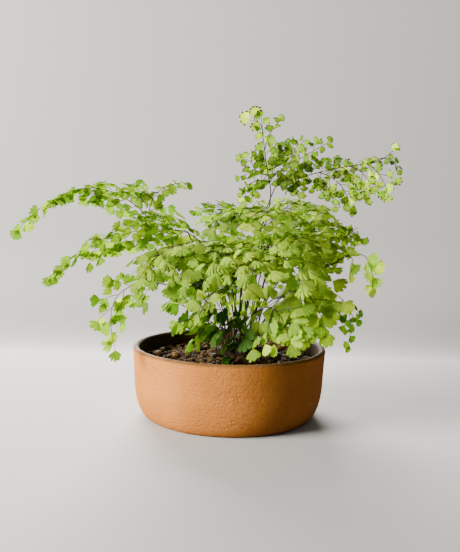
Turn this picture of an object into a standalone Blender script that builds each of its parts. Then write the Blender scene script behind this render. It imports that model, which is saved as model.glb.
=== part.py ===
"""Potted maidenhair fern: a shallow terracotta bowl, its planting and one plant of arching fronds.

Metres, +Z up. The origin is the middle of the bowl's foot, on the surface that it stands on.
"""
import math
from collections import namedtuple

import bmesh
import bpy
import numpy as np
from mathutils import Quaternion, Vector, noise
from mathutils.bvhtree import BVHTree

MM = 0.001
GAP = 0.3 * MM                    # air left between pieces that touch

# Bowl
BOWL_HEIGHT = 55.0 * MM
RIM_RADIUS = 75.0 * MM
SHOULDER_RADIUS = 73.7 * MM       # where the wall starts to turn under
FOOT_RADIUS = 62.0 * MM
SHOULDER_HEIGHT = 30.0 * MM
WALL = 4.6 * MM
FLOOR = 6.0 * MM
BOWL_STEPS = 48
DRAIN_RADIUS = 9.0 * MM
DRAIN_OFFSET = 26.0 * MM          # of each of the two holes, to the left and to the right

# Net over the drain holes
NET_RADIUS = 38.0 * MM
NET_THICKNESS = 1.0 * MM
NET_HOLE_RADIUS = 2.4 * MM
NET_RINGS = ((12.0 * MM, 6), (26.0 * MM, 12))    # circle radius, number of holes

# Planting mix
MIX_EDGE_HEIGHT = 42.5 * MM       # surface at the bowl's wall
MIX_CROWN_HEIGHT = 46.5 * MM      # surface under the plant
MIX_MOUND_WIDTH = 45.0 * MM
MIX_RINGS = 5
MIX_CORNER = 3.0 * MM             # slope at the foot of the mix, where the wall turns in

# Rhizome, a flat lump half sunk in the mix
CROWN = Vector((8.0, 8.0, 47.0)) * MM
RHIZOME_RADII = Vector((21.0, 14.0, 7.0)) * MM
RHIZOME_LUMP = 0.25 * MM

# Loose granules on top of the mix
GRANULE_COUNT = 20
GRANULE_TRIES = 400
GRANULE_RADII = (2.2 * MM, 4.0 * MM)
GRANULE_RING = (30.0 * MM, 64.0 * MM)

# Fronds
LEAF_THICKNESS = 0.5 * MM
STALK_WIDTH = 1.2 * MM
HINGE = 1.2 * MM                  # length of stalk that carries one leaf plate
FORK_SPACING = 3.0 * MM           # from a fork to the nearest hinge
STATION = 14.0 * MM               # longest plain stretch of stalk
STALK_TAPER = 0.25                # part of its width that a stalk loses to its tip
LINE_POINTS = 24
STEEP_RUN = 8.0 * MM              # a blade whose level run is shorter turns to face outward
LEAFY_PART = (0.10, 0.93)         # of a blade's length
LEAF_LEAN = (62.0, 42.0)          # degrees from the stalk, at a blade's start and tip
LEAF_DROOP = 0.12
END_PLATE = 0.9                   # size of the plate at a blade's tip, as a part of a leaflet's
CLEARANCE = 1.15 * MM             # between the mid planes of two fronds
OWN_CLEARANCE = 0.9 * MM          # between two leaf plates of one frond
SHIFT_STEP = 0.7 * MM             # a blocked frond is tried at spots that spiral outward
SHIFT_RISE = 0.4
SHIFT_TRIES = 80
GOLDEN_ANGLE = 2.4                # radians
# Outline of a leaf plate beyond its hinge, as parts of its length and width
PLATE_SHAPE = ((0.5, 0.5), (0.93, 0.28), (0.93, -0.28), (0.5, -0.5))
# Ways to set a leaf plate clear of a neighbour: degrees turned about the stalk, then size
PLATE_TRIES = ((0, 1.0), (14, 1.0), (-14, 1.0), (0, 0.8), (26, 0.85), (-26, 0.85), (0, 0.62),
               (40, 0.7), (-40, 0.7), (0, 0.48), (55, 0.55), (-55, 0.55), (20, 0.4), (-20, 0.4))
FOOT_SPACING = 3.6 * MM
FOOT_SPREAD = 0.8                 # part of the rhizome's radius that is used at first
FOOT_LIMIT = 0.85                 # and at most
FOOT_ROUNDS = 200
FOOT_GAP = 0.15 * MM              # above the smooth rhizome, whose facets lie a little lower

# A blade runs from its frond's knee, or from a point along an earlier blade, over its crest to
# its tip. Reach is how far the lowest side branches stand out, roll turns the blade about its
# length from level, and bare is the part of its length before the first leaf plate. Points,
# reach and leaflet size are in millimetres, roll in degrees.
Blade = namedtuple("Blade", "crest tip reach leaflet roll bare parent along",
                   defaults=(0.0, None, 0.0))
Frond = namedtuple("Frond", "name knee blades")
# A laid blade: its line, the length of line before it starts, the hinge pairs with the size of
# their leaf plates, and its end edge.
Run = namedtuple("Run", "blade line lead pairs end")

FRONDS = (
    Frond("top_high", (28, 0, 182), (
        Blade((25, -4, 205), (18, -9, 229), 5, 8, 60, bare=0.35),
        Blade((15, -15, 182), (7, -25, 175), 11, 8.5, 65, bare=0.12),
        Blade((40, 0, 199), (49, 0, 213), 13, 8, 70),
        Blade((17, -5, 191), (13, -10, 201), 13, 8, 70),
        Blade((53, 14, 202), (74, 24, 215), 10, 8, 65),
        Blade((18, -8, 226), (13, -9, 226), 2, 12, 65, bare=0.3, parent=0, along=0.72),
        Blade((29, -6, 222), (33, -6, 227), 1, 8, 65, bare=0.3, parent=0, along=0.5),
        Blade((35, -3, 191), (45, -5, 189), 8, 9.5, 70))),
    Frond("top_right", (33, 8, 179), (
        Blade((74, 5, 193), (110, 0, 198), 9, 8, 62, bare=0.12),
        Blade((83, 0, 183), (90, -4, 164), 9, 9, 60, parent=0, along=0.5),
        Blade((102, -5, 186), (103, -9, 175), 8, 10.5, 65, bare=0.1, parent=0, along=0.75),
        Blade((112, -4, 189), (116, -8, 179), 7, 9.5, 65, bare=0.3, parent=0, along=0.93),
        Blade((119, 0, 205), (123, 0, 209), 1, 8, 60, bare=0.97, parent=0, along=0.97),
        Blade((121, -2, 201), (126, -2, 195), 1, 6.5, 60, bare=0.4, parent=0, along=0.95),
        Blade((51, 0, 184), (60, -6, 181), 9, 8.5, 60, bare=0.2))),
    Frond("left_high", (-66, 10, 153), (
        Blade((-101, 5, 171), (-162, -2, 140), 16, 11, 30, bare=0.18),
        Blade((-61, 25, 173), (-41, 45, 180), 12, 9.5, 30, bare=0.15),
        Blade((-74, 22, 174), (-87, 20, 176), 10, 10, 30, bare=0.1, parent=1, along=0.3))),
    Frond("left_mid", (-34, -5, 143), (Blade((-90, -12, 136), (-133, -25, 106), 20, 12, 32),)),
    Frond("left_crest", (-21, 5, 132), (Blade((-52, 10, 149), (-78, 15, 151), 28, 11, 15),)),
    Frond("left_fore", (-19, -15, 130), (Blade((-40, -50, 135), (-62, -85, 114), 32, 12.5, 15),)),
    Frond("left_drape", (-14, -20, 125), (Blade((-28, -50, 134), (-41, -82, 111), 32, 10.5, 0),)),
    Frond("left_inner", (-8, -20, 120), (Blade((-16, -60, 130), (-24, -85, 102), 28, 10.5, 0),)),
    Frond("left_hang", (-56, -35, 106), (
        Blade((-78, -42, 101), (-83, -48, 60), 15, 11, 55, bare=0.15),
        Blade((-61, -42, 102), (-63, -48, 95), 7, 13, 45, bare=0.1))),
    Frond("left_low", (-36, -38, 92), (Blade((-42, -45, 95), (-45, -52, 94), 4, 11, 40),)),
    Frond("low_left", (-13, -20, 75), (
        Blade((-25, -36, 82), (-37, -46, 79), 6, 12.5, 60),
        Blade((-21, -40, 75), (-27, -54, 70), 5, 15, 60))),
    Frond("low_front", (-4, -18, 70), (
        Blade((-8, -40, 75), (-10, -54, 72), 9, 15, 60),
        Blade((-6, -22, 83), (-12, -28, 94), 8, 7, 60))),
    Frond("low_right", (6, -16, 68), (
        Blade((7, -38, 73), (11, -54, 70), 9, 15, 60),
        Blade((3, -26, 73), (2, -34, 79), 6, 12, 60),
        Blade((16, -24, 82), (23, -30, 90), 8, 7, 60))),
    Frond("dark_left", (-4, -20, 103), (
        Blade((-19, -40, 110), (-29, -58, 105), 20, 12, 15),
        Blade((-15, -38, 98), (-22, -56, 85), 17, 9, 30))),
    Frond("crest_back_left", (21, 25, 147), (Blade((-2, 45, 163), (-28, 60, 160), 12, 8.5, 25),)),
    Frond("crest_left", (23, 5, 155), (Blade((4, -15, 163), (-13, -35, 145), 19, 11.5, 5),)),
    Frond("crest_right_back", (27, 15, 146), (Blade((56, 40, 167), (79, 60, 157), 40, 8.5, 8),)),
    Frond("crest_right", (32, 10, 139), (Blade((62, 10, 158), (77, 5, 138), 34, 8.5, 12),)),
    Frond("crest_front", (19, -5, 142), (Blade((21, -45, 162), (28, -85, 149), 38, 10.5, 0),)),
    Frond("crest_front_right", (28, -5, 131), (
        Blade((37, -45, 146), (49, -85, 137), 36, 11.5, 5),)),
    Frond("centre_left", (5, -15, 120), (Blade((-4, -55, 136), (-10, -95, 122), 32, 12.5, 0),)),
    Frond("centre_front", (11, -18, 115), (Blade((13, -60, 133), (10, -105, 114), 32, 13, 0),)),
    Frond("centre_right", (19, -15, 115), (Blade((34, -55, 130), (46, -90, 114), 34, 13, 10),)),
    Frond("rim_front", (23, -38, 90), (Blade((32, -56, 91), (41, -76, 73), 22, 14, 55),)),
    Frond("rim_right", (33, -35, 97), (
        Blade((51, -55, 104), (67, -66, 79), 28, 14, 50),
        Blade((49, -55, 99), (62, -62, 95), 14, 12.5, 50))),
    Frond("right_low", (54, 0, 101), (Blade((83, -2, 93), (95, -4, 58), 13, 9, 45, bare=0.42),)),
    Frond("right_mid", (47, 5, 119), (
        Blade((78, 18, 147), (99, 34, 143), 28, 9.5, 28),
        Blade((74, 6, 124), (87, 4, 127), 9, 9, 40, bare=0.2))),
    Frond("right_pale", (79, -10, 122), (
        Blade((98, -12, 130), (105, -15, 108), 3, 12.5, -60, bare=0.55),
        Blade((91, -13, 127), (91, -15, 117), 3, 11.5, -60, bare=0.45))),
    Frond("back_mid", (7, 40, 115), (Blade((0, 80, 132), (-8, 120, 108), 40, 10, 0),)),
    Frond("back_right", (20, 40, 115), (Blade((39, 75, 132), (63, 110, 110), 40, 10, 0),)),
    Frond("back_far_right", (25, 30, 121), (Blade((58, 60, 138), (83, 85, 121), 28, 9.5, 0),)),
    Frond("back_left", (-4, 38, 118), (Blade((-29, 65, 133), (-59, 95, 114), 32, 10, 0),)),
    Frond("back_low_left", (-9, 30, 93), (Blade((-32, 60, 100), (-47, 82, 81), 22, 10.5, 15),)),
    Frond("back_low_mid", (12, 34, 90), (Blade((13, 62, 96), (12, 90, 72), 26, 10.5, 10),)),
    Frond("back_low_right", (32, 34, 96), (Blade((56, 58, 103), (71, 80, 84), 22, 10.5, 15),)),
)

UP = Vector((0, 0, 1))


# Scene, collections and materials

def clear_scene():
    for thing in list(bpy.data.objects):
        bpy.data.objects.remove(thing, do_unlink=True)


def new_collection(name):
    group = bpy.data.collections.new(name)
    bpy.context.scene.collection.children.link(group)
    return group


def material(name, colour, roughness):
    made = bpy.data.materials.new(name)
    made.use_nodes = True
    shader = made.node_tree.nodes["Principled BSDF"]
    shader.inputs["Base Color"].default_value = (*colour, 1.0)
    shader.inputs["Roughness"].default_value = roughness
    shader.inputs["Metallic"].default_value = 0.0
    return made


def add_mesh(name, vertices, faces, group, finish=None):
    mesh = bpy.data.meshes.new(name)
    mesh.from_pydata([tuple(v) for v in vertices], [], faces)
    thing = bpy.data.objects.new(name, mesh)
    group.objects.link(thing)
    if finish:
        mesh.materials.append(finish)
    return thing


def turned(name, profile, steps, group, finish=None):
    """Solid of revolution from (radius, height) points that run down its outer side."""
    edges = [(i, i + 1) for i in range(len(profile) - 1)]
    mesh = bpy.data.meshes.new(name)
    mesh.from_pydata([(r, 0, z) for r, z in profile], edges, [])
    thing = bpy.data.objects.new(name, mesh)
    group.objects.link(thing)
    if finish:
        mesh.materials.append(finish)
    screw = thing.modifiers.new("Turn", "SCREW")
    screw.steps = steps
    screw.render_steps = steps
    screw.use_merge_vertices = True
    screw.merge_threshold = 1e-5
    return thing


def baked(thing):
    """Replace an object's mesh by its evaluated mesh, and drop the modifiers."""
    graph = bpy.context.evaluated_depsgraph_get()
    mesh = bpy.data.meshes.new_from_object(thing.evaluated_get(graph))
    thing.modifiers.clear()
    thing.data = mesh
    return thing


def cutter(thing):
    thing.hide_render = True
    thing.display_type = "WIRE"
    return thing


def drill(name, radius, depth, places, group):
    """One cutter of several upright round bars, at the (x, y, z) middles given."""
    bm = bmesh.new()
    for place in places:
        made = bmesh.ops.create_cone(bm, cap_ends=True, segments=16, radius1=radius,
                                     radius2=radius, depth=depth)
        bmesh.ops.translate(bm, verts=made["verts"], vec=place)
    mesh = bpy.data.meshes.new(name)
    bm.to_mesh(mesh)
    bm.free()
    thing = bpy.data.objects.new(name, mesh)
    group.objects.link(thing)
    return cutter(thing)


def cut(thing, tool):
    step = thing.modifiers.new(tool.name, "BOOLEAN")
    step.operation = "DIFFERENCE"
    step.solver = "EXACT"
    step.object = tool


# Bowl and what fills it

def inner_wall(inset=0.0, points=6):
    """Inner side of the bowl from its floor to its shoulder, moved in and up by the inset."""
    centre = FOOT_RADIUS - WALL
    reach = SHOULDER_RADIUS - FOOT_RADIUS
    rise = SHOULDER_HEIGHT - FLOOR
    side = []
    for step in range(points):
        turn = math.radians(90) * step / (points - 1)
        radius = centre + reach * math.sin(turn) - inset
        side.append((radius, FLOOR + inset + rise * (1 - math.cos(turn))))
    return side


def build_bowl(parts, cutters):
    rim_half = WALL / 2
    rim_middle = RIM_RADIUS - rim_half
    profile = [(0, FLOOR)]
    profile += inner_wall()
    for step in range(7):
        turn = math.radians(180 - 30 * step)
        profile.append((rim_middle + rim_half * math.cos(turn),
                        BOWL_HEIGHT - rim_half + rim_half * math.sin(turn)))
    for step in range(6):
        turn = math.radians(90 - 15 * step)
        profile.append((FOOT_RADIUS + (SHOULDER_RADIUS - FOOT_RADIUS) * math.sin(turn),
                        SHOULDER_HEIGHT * (1 - math.cos(turn))))
    profile += [(FOOT_RADIUS, 0), (0, 0)]
    clay = material("terracotta", (0.48, 0.24, 0.12), 0.85)
    bowl = turned("pot", profile, BOWL_STEPS, parts, clay)
    places = [(side * DRAIN_OFFSET, 0, FLOOR / 2) for side in (-1, 1)]
    cut(bowl, drill("drain_drill", DRAIN_RADIUS, 3 * FLOOR, places, cutters))
    return bowl


def build_net(parts, cutters):
    low = FLOOR + GAP
    high = low + NET_THICKNESS
    profile = [(0, high), (NET_RADIUS, high), (NET_RADIUS, low), (0, low)]
    plastic = material("net_plastic", (0.03, 0.03, 0.03), 0.6)
    net = turned("drainage_net", profile, 24, parts, plastic)
    places = []
    for radius, count in NET_RINGS:
        for hole in range(count):
            turn = 2 * math.pi * hole / count
            places.append((radius * math.cos(turn), radius * math.sin(turn), (low + high) / 2))
    cut(net, drill("net_drill", NET_HOLE_RADIUS, 4 * NET_THICKNESS, places, cutters))
    return net


def mix_height(x, y):
    """Surface of the mix: a low mound under the crown, with a little unevenness."""
    away = math.hypot(x - CROWN.x, y - CROWN.y) / MIX_MOUND_WIDTH
    mound = (MIX_CROWN_HEIGHT - MIX_EDGE_HEIGHT) * math.exp(-away * away)
    uneven = 0.8 * MM * noise.noise(Vector((x, y, 0)) * 60)
    return MIX_EDGE_HEIGHT + mound + uneven


def build_mix(parts, cutters):
    low = FLOOR + 2 * GAP + NET_THICKNESS
    edge = SHOULDER_RADIUS - WALL - GAP
    profile = [(edge * k / MIX_RINGS, MIX_EDGE_HEIGHT) for k in range(MIX_RINGS + 1)]
    side = [p for p in inner_wall(inset=1.2 * GAP) if p[1] > low + MM]
    profile += reversed(side)
    profile += [(side[0][0] - MIX_CORNER, low), (0, low)]
    loam = material("planting_mix", (0.06, 0.03, 0.018), 0.95)
    mix = baked(turned("potting_mix", profile, BOWL_STEPS, parts, loam))
    for vertex in mix.data.vertices:
        if vertex.co.z > MIX_EDGE_HEIGHT - 0.01 * MM:
            vertex.co.z = mix_height(vertex.co.x, vertex.co.y)
    seat = rhizome_lump("rhizome_seat", GAP, 0.0, cutters)
    cut(mix, cutter(seat))
    return mix


def rhizome_lump(name, grown, lump, group, finish=None):
    bm = bmesh.new()
    bmesh.ops.create_icosphere(bm, subdivisions=3, radius=1.0)
    for vertex in bm.verts:
        bump = lump * (0.5 + 0.5 * noise.noise(vertex.co * 3.0))
        radii = RHIZOME_RADII + Vector((1, 1, 1)) * (grown - bump)
        vertex.co = CROWN + Vector(a * b for a, b in zip(vertex.co, radii))
    mesh = bpy.data.meshes.new(name)
    bm.to_mesh(mesh)
    bm.free()
    thing = bpy.data.objects.new(name, mesh)
    group.objects.link(thing)
    if finish:
        mesh.materials.append(finish)
    return thing


# Keeping pieces apart

def surface_of(thing):
    """World points and faces of an object's evaluated mesh."""
    mesh = thing.evaluated_get(bpy.context.evaluated_depsgraph_get()).data
    return [v.co.copy() for v in mesh.vertices], [list(p.vertices) for p in mesh.polygons]


def tree_of(surfaces, leave_out=None):
    """Search tree over all the named surfaces but one."""
    vertices = []
    faces = []
    for name, (points, loops) in surfaces.items():
        if name != leave_out:
            start = len(vertices)
            vertices += points
            faces += [[start + i for i in loop] for loop in loops]
    return BVHTree.FromPolygons(vertices, faces)


def near(tree, points, distance):
    return any(tree.find_nearest(p, distance)[0] is not None for p in points)


def crosses(tree, outline):
    """Whether a flat outline cuts through any face of the tree."""
    return bool(tree.overlap(BVHTree.FromPolygons(outline, [list(range(len(outline)))])))


def normal_of(outline):
    return (outline[1] - outline[0]).cross(outline[-1] - outline[0]).normalized()


# Skeleton of a frond

def feet(fronds):
    """Foot and outward normal on the rhizome for each frond, spread so that none crowd."""
    flat = []
    for frond in fronds:
        out = Vector(frond.knee) * MM - CROWN
        lean = math.hypot(out.x, out.y) / max(out.length, MM)
        away = Vector((out.x, out.y, 0)).normalized() * FOOT_SPREAD * min(1, 0.2 + lean)
        flat.append(Vector((away.x * RHIZOME_RADII.x, away.y * RHIZOME_RADII.y, 0)))
    for _ in range(FOOT_ROUNDS):
        for i, one in enumerate(flat):
            for other in flat[i + 1:]:
                apart = other - one
                if apart.length < FOOT_SPACING:
                    push = (apart.normalized() if apart.length > 0 else Vector((1, 0, 0)))
                    push *= (FOOT_SPACING - apart.length) / 2
                    one -= push
                    other += push
            reach = math.hypot(one.x / RHIZOME_RADII.x, one.y / RHIZOME_RADII.y)
            if reach > FOOT_LIMIT:
                one *= FOOT_LIMIT / reach
    found = []
    for spot in flat:
        x = spot.x / RHIZOME_RADII.x
        y = spot.y / RHIZOME_RADII.y
        z = math.sqrt(1 - x * x - y * y)
        normal = Vector((x / RHIZOME_RADII.x, y / RHIZOME_RADII.y, z / RHIZOME_RADII.z))
        found.append((CROWN + Vector((spot.x, spot.y, z * RHIZOME_RADII.z)), normal.normalized()))
    return found


def through(start, crest, tip):
    """Smooth arch from start to tip that passes the crest."""
    first = (crest - start).length
    part = min(max(first / (first + (tip - crest).length), 0.25), 0.75)
    pull = (crest - (1 - part) ** 2 * start - part ** 2 * tip) / (2 * (1 - part) * part)
    line = []
    for k in range(LINE_POINTS):
        t = k / (LINE_POINTS - 1)
        line.append((1 - t) ** 2 * start + 2 * (1 - t) * t * pull + t * t * tip)
    return line


def rising(foot, normal, knee, heading):
    """Stipe that leaves the rhizome square and reaches the knee along the heading."""
    length = (knee - foot).length
    low = foot + (normal * 0.25 + UP * 0.15) * length
    high = knee - heading * length * 0.3
    line = []
    for k in range(LINE_POINTS):
        t = k / (LINE_POINTS - 1)
        line.append((1 - t) ** 3 * foot + 3 * (1 - t) ** 2 * t * low
                    + 3 * (1 - t) * t * t * high + t ** 3 * knee)
    return line


def point_along(line, part):
    place = min(max(part, 0), 1) * (len(line) - 1)
    i = min(int(place), len(line) - 2)
    return line[i].lerp(line[i + 1], place - i)


def tangent_along(line, part):
    ahead = point_along(line, part + 0.01) - point_along(line, part - 0.01)
    return ahead.normalized()


def length_of(line):
    return sum((b - a).length for a, b in zip(line, line[1:]))


def evened(line):
    """The same line as points at even distances."""
    marks = np.cumsum([0.0] + [(b - a).length for a, b in zip(line, line[1:])])
    stops = np.linspace(0, marks[-1], 2 * LINE_POINTS)
    parts = np.interp(stops, marks, np.linspace(0, 1, len(line)))
    return [point_along(line, part) for part in parts]


def skeleton(frond, foot, normal, shift):
    """Lines of a frond, one for the stipe with the first blade and one for each other blade."""
    knee = Vector(frond.knee) * MM + shift
    blades = []
    for blade in frond.blades:
        start = knee if blade.parent is None else point_along(blades[blade.parent], blade.along)
        blades.append(through(start, Vector(blade.crest) * MM + shift,
                              Vector(blade.tip) * MM + shift))
    heading = Vector((0, 0, 0))
    for blade, line in zip(frond.blades, blades):
        if blade.parent is None:
            heading += (line[1] - line[0]).normalized()
    rise = (knee - foot).normalized()
    heading = (heading.normalized() + rise * 1.2).normalized()
    stipe = rising(foot + normal * FOOT_GAP, normal, knee, heading)
    return stipe, blades


def blade_side(line, roll):
    """Sideways direction of a blade: level across its run, then rolled about it."""
    run = line[-1] - line[0]
    run.z *= 0.2
    if math.hypot(run.x, run.y) < STEEP_RUN:
        run = Vector((line[0].x - CROWN.x, line[0].y - CROWN.y, 0))
    across = run.cross(UP).normalized()
    across.rotate(Quaternion((line[1] - line[0]).normalized(), math.radians(roll)))
    return across


def carried_back(line, index, side):
    """Side vector at the start of a line that becomes the given one at the index."""
    across = Vector(side)
    for k in range(index, 0, -1):
        tangent = (line[k] - line[k - 1]).normalized()
        across = (across - tangent * across.dot(tangent)).normalized()
    return across


# Surface of a frond

class Sheet:
    """Mid surface of one frond: stalk strips, with leaf plates hinged on their sides."""

    def __init__(self):
        self.vertices = []
        self.faces = []

    def vertex(self, point):
        self.vertices.append(point)
        return len(self.vertices) - 1

    def strip(self, line, side, cuts, base=None):
        """Lay a tapering strip along a line, and return its hinge edges and end edge.

        The side vector is carried along from the start, and cuts are the distances of the
        hinges, in order. Each cut gives a left and a right edge.
        """
        total = length_of(line)
        stops = {0.0, total}
        for place in cuts:
            stops.update((place - HINGE / 2, place + HINGE / 2))
        marks = sorted(stops)
        for low, high in zip(marks, marks[1:]):
            pieces = math.ceil((high - low) / STATION)
            stops.update(low + (high - low) * k / pieces for k in range(1, pieces))
        stops = sorted(stops)
        rows = []
        across = Vector(side)
        for stop in stops:
            part = stop / total
            tangent = tangent_along(line, part)
            across = (across - tangent * across.dot(tangent)).normalized()
            if stop == 0.0 and base:
                rows.append(base)
                continue
            here = point_along(line, part)
            half = across * STALK_WIDTH * (1 - STALK_TAPER * part) / 2
            rows.append((self.vertex(here - half), self.vertex(here + half)))
        for (a, b), (c, d) in zip(rows, rows[1:]):
            self.faces.append([a, b, d, c])
        hinges = {}
        for place in cuts:
            k = stops.index(place - HINGE / 2)
            (a, b), (c, d) = rows[k:k + 2]
            hinges[place] = ((a, c), (b, d))
        return hinges, rows[-1]

    def outline(self, hinge, direction, length, width):
        """Outer points of a wedge shaped leaf plate that stands on a hinge edge."""
        low, high = (self.vertices[i] for i in hinge)
        edge = (high - low).normalized()
        across = (edge - direction * edge.dot(direction)).normalized()
        middle = (low + high) / 2
        return [middle + direction * length * u + across * width * v for u, v in PLATE_SHAPE]

    def add_plate(self, hinge, outline):
        self.faces.append(list(hinge) + [self.vertex(p) for p in outline])

    def side_of(self, hinges, direction):
        """Whichever of two hinge edges lies on the side that the direction points to."""
        left, right = hinges
        across = self.vertices[right[0]] - self.vertices[left[0]]
        return right if across.dot(direction) > 0 else left

    def middle(self, hinge):
        return (self.vertices[hinge[0]] + self.vertices[hinge[1]]) / 2


def spread_over(outline, middle):
    """Test points over a leaf plate, away from its hinge."""
    points = list(outline)
    points += [a.lerp(b, 0.5) for a, b in zip(outline, outline[1:])]
    for part in (0.45, 0.6, 0.75):
        points += [middle.lerp(p, part) for p in outline]
    return points


def hang_plate(sheet, hinge, axis, aim, length, width, others):
    """Add a leaf plate, turned or made smaller where it would touch, or left out."""
    middle = sheet.middle(hinge)
    own = tree_of({"own": (sheet.vertices, sheet.faces)})
    for turn, size in PLATE_TRIES:
        direction = Vector(aim)
        direction.rotate(Quaternion(axis, math.radians(turn)))
        outline = sheet.outline(hinge, direction, length * size, width * size)
        points = spread_over(outline, middle)
        whole = [sheet.vertices[i] for i in hinge] + outline
        beyond = [middle.lerp(outline[0], 0.3)] + outline + [middle.lerp(outline[-1], 0.3)]
        if near(others, points + beyond, CLEARANCE) or near(own, points, OWN_CLEARANCE):
            continue
        away = normal_of(beyond) * CLEARANCE * 0.75
        if any(crosses(others, [p + away * k for p in whole]) for k in (-1, 0, 1)):
            continue
        if crosses(own, beyond):
            continue
        sheet.add_plate(hinge, outline)
        return


def leaf_places(blade, line, lead):
    """Length and width of each pair of leaf plates, by its distance along the strip."""
    total = length_of(line) - lead
    leaflet = blade.leaflet * MM
    places = {}
    x = max(LEAFY_PART[0] * total, blade.bare * total, HINGE)
    while x < min(LEAFY_PART[1] * total, total - HINGE):
        branch = blade.reach * MM * (1 - x / total) ** 0.8 + 0.75 * leaflet
        width = 0.4 * (branch + leaflet)
        places[lead + x] = (branch + 0.6 * leaflet, width)
        x += 1.05 * width + 1.0 * MM
    return places


def fork_place(wanted, taken, total):
    """Distance nearest to the wanted one that is clear of the ends and the other hinges."""
    for step in range(math.ceil(2 * total / HINGE)):
        for place in (wanted + step * HINGE / 2, wanted - step * HINGE / 2):
            inside = HINGE < place < total - HINGE
            if inside and all(abs(place - other) >= FORK_SPACING for other in taken):
                return place
    raise RuntimeError("no room for a fork")


def clear_skeleton(frond, foot, normal, others):
    """Skeleton of a frond, shifted a little where it would touch an earlier one."""
    for step in range(SHIFT_TRIES):
        turn = GOLDEN_ANGLE * step
        away = SHIFT_STEP * math.sqrt(step)
        shift = Vector((away * math.cos(turn), away * math.sin(turn), SHIFT_RISE * away))
        stipe, blades = skeleton(frond, foot, normal, shift)
        points = [point_along(stipe, k / 90) for k in range(91)]
        for blade in blades:
            points += [point_along(blade, k / 40) for k in range(41)]
        if not near(others, points, CLEARANCE + STALK_WIDTH / 2):
            return stipe, blades
    raise RuntimeError("no clear way for frond " + frond.name)


def lay_stalks(frond, foot, normal, others):
    """Sheet with a frond's stipe and blades, and what its leaf plates need: Runs."""
    stipe, lines = clear_skeleton(frond, foot, normal, others)
    sheet = Sheet()
    stand_on = {}                 # hinge edge that each later blade starts from
    runs = []
    for index, blade in enumerate(frond.blades):
        if index == 0:
            lead = length_of(stipe)
            line = stipe + lines[0][1:]
            side = carried_back(line, len(stipe) - 1, blade_side(lines[0], blade.roll))
            line = evened(line)
            base = None
        else:
            lead = 0.0
            base = stand_on[index]
            line = evened(through(sheet.middle(base), point_along(lines[index], 0.5),
                                  lines[index][-1]))
            side = sheet.vertices[base[1]] - sheet.vertices[base[0]]
        leaves = leaf_places(blade, line, lead)
        forks = {}                # place along the strip of each blade that starts here
        for later, other in enumerate(frond.blades):
            if later > index and (other.parent or 0) == index:
                total = length_of(line)
                wanted = lead + other.along * (total - lead)
                forks[fork_place(wanted, list(leaves) + list(forks), total)] = later
        hinges, end = sheet.strip(line, side, sorted(list(leaves) + list(forks)), base)
        for place, later in forks.items():
            start = lines[later]
            stand_on[later] = sheet.side_of(hinges[place], point_along(start, 0.3) - start[0])
        pairs = [(place, hinges[place], size) for place, size in leaves.items()]
        runs.append(Run(blade, line, lead, pairs, end))
    return sheet, runs


def hang_leaves(sheet, run, others):
    """Leaf plates in pairs along a blade, and one at its end."""
    line = run.line
    total = length_of(line)
    first = run.lead / total
    side = blade_side([point_along(line, first), point_along(line, first + 0.02), line[-1]],
                      run.blade.roll)
    for place, pair, (length, width) in run.pairs:
        tangent = tangent_along(line, place / total)
        across = (side - tangent * side.dot(tangent)).normalized()
        part = (place - run.lead) / (total - run.lead)
        lean = math.radians(LEAF_LEAN[0] + (LEAF_LEAN[1] - LEAF_LEAN[0]) * part)
        for hand in (1, -1):
            aim = tangent * math.cos(lean) + across * hand * math.sin(lean) - UP * LEAF_DROOP
            hinge = sheet.side_of(pair, across * hand)
            hang_plate(sheet, hinge, tangent * hand, aim.normalized(), length, width, others)
    low, high = run.end
    axis = (sheet.vertices[high] - sheet.vertices[low]).normalized()
    size = END_PLATE * run.blade.leaflet * MM
    hang_plate(sheet, run.end, axis, tangent_along(line, 1.0), size, size, others)


def finish_frond(frond, sheet, parts, leaf):
    thing = add_mesh("frond_" + frond.name, sheet.vertices, sheet.faces, parts, leaf)
    face_one_way(thing.data)
    shell = thing.modifiers.new("Thickness", "SOLIDIFY")
    shell.thickness = LEAF_THICKNESS
    shell.offset = 0.0


def build_fronds(surfaces, parts):
    """Lay all the stalks first, then hang the leaves, each clear of all the other fronds."""
    leaf = material("fern_green", (0.25, 0.45, 0.05), 0.5)
    laid = {}
    for frond, (foot, normal) in zip(FRONDS, feet(FRONDS)):
        sheet, runs = lay_stalks(frond, foot, normal, tree_of(surfaces, "mix"))
        laid[frond.name] = (sheet, runs)
        surfaces[frond.name] = (sheet.vertices, sheet.faces)
    for frond in FRONDS:
        sheet, runs = laid[frond.name]
        others = tree_of(surfaces, frond.name)
        for run in runs:
            hang_leaves(sheet, run, others)
        finish_frond(frond, sheet, parts, leaf)


def face_one_way(mesh):
    bm = bmesh.new()
    bm.from_mesh(mesh)
    bmesh.ops.recalc_face_normals(bm, faces=bm.faces)
    bm.to_mesh(mesh)
    bm.free()


# Granules

def pebble(radius, rng, seed):
    """Points and faces of a rough pebble about the origin."""
    bm = bmesh.new()
    bmesh.ops.create_icosphere(bm, subdivisions=2, radius=radius)
    stretch = (rng.uniform(0.8, 1.2), rng.uniform(0.8, 1.2), rng.uniform(0.6, 0.9))
    spin = Quaternion(UP, rng.uniform(0, math.pi))
    for vertex in bm.verts:
        lump = 1 + 0.25 * noise.noise(vertex.co * 1.6 / radius + seed)
        vertex.co = spin @ Vector(a * b * lump for a, b in zip(vertex.co, stretch))
    points = [vertex.co.copy() for vertex in bm.verts]
    faces = [[vertex.index for vertex in face.verts] for face in bm.faces]
    bm.free()
    return points, faces


def let_down(points, above, ground):
    """Points lowered onto the ground, or None where they would miss it."""
    drops = [ground.ray_cast(above + p, -UP)[3] for p in points]
    if None in drops:
        return None
    return [above + p - UP * (min(drops) - GAP) for p in points]


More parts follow.
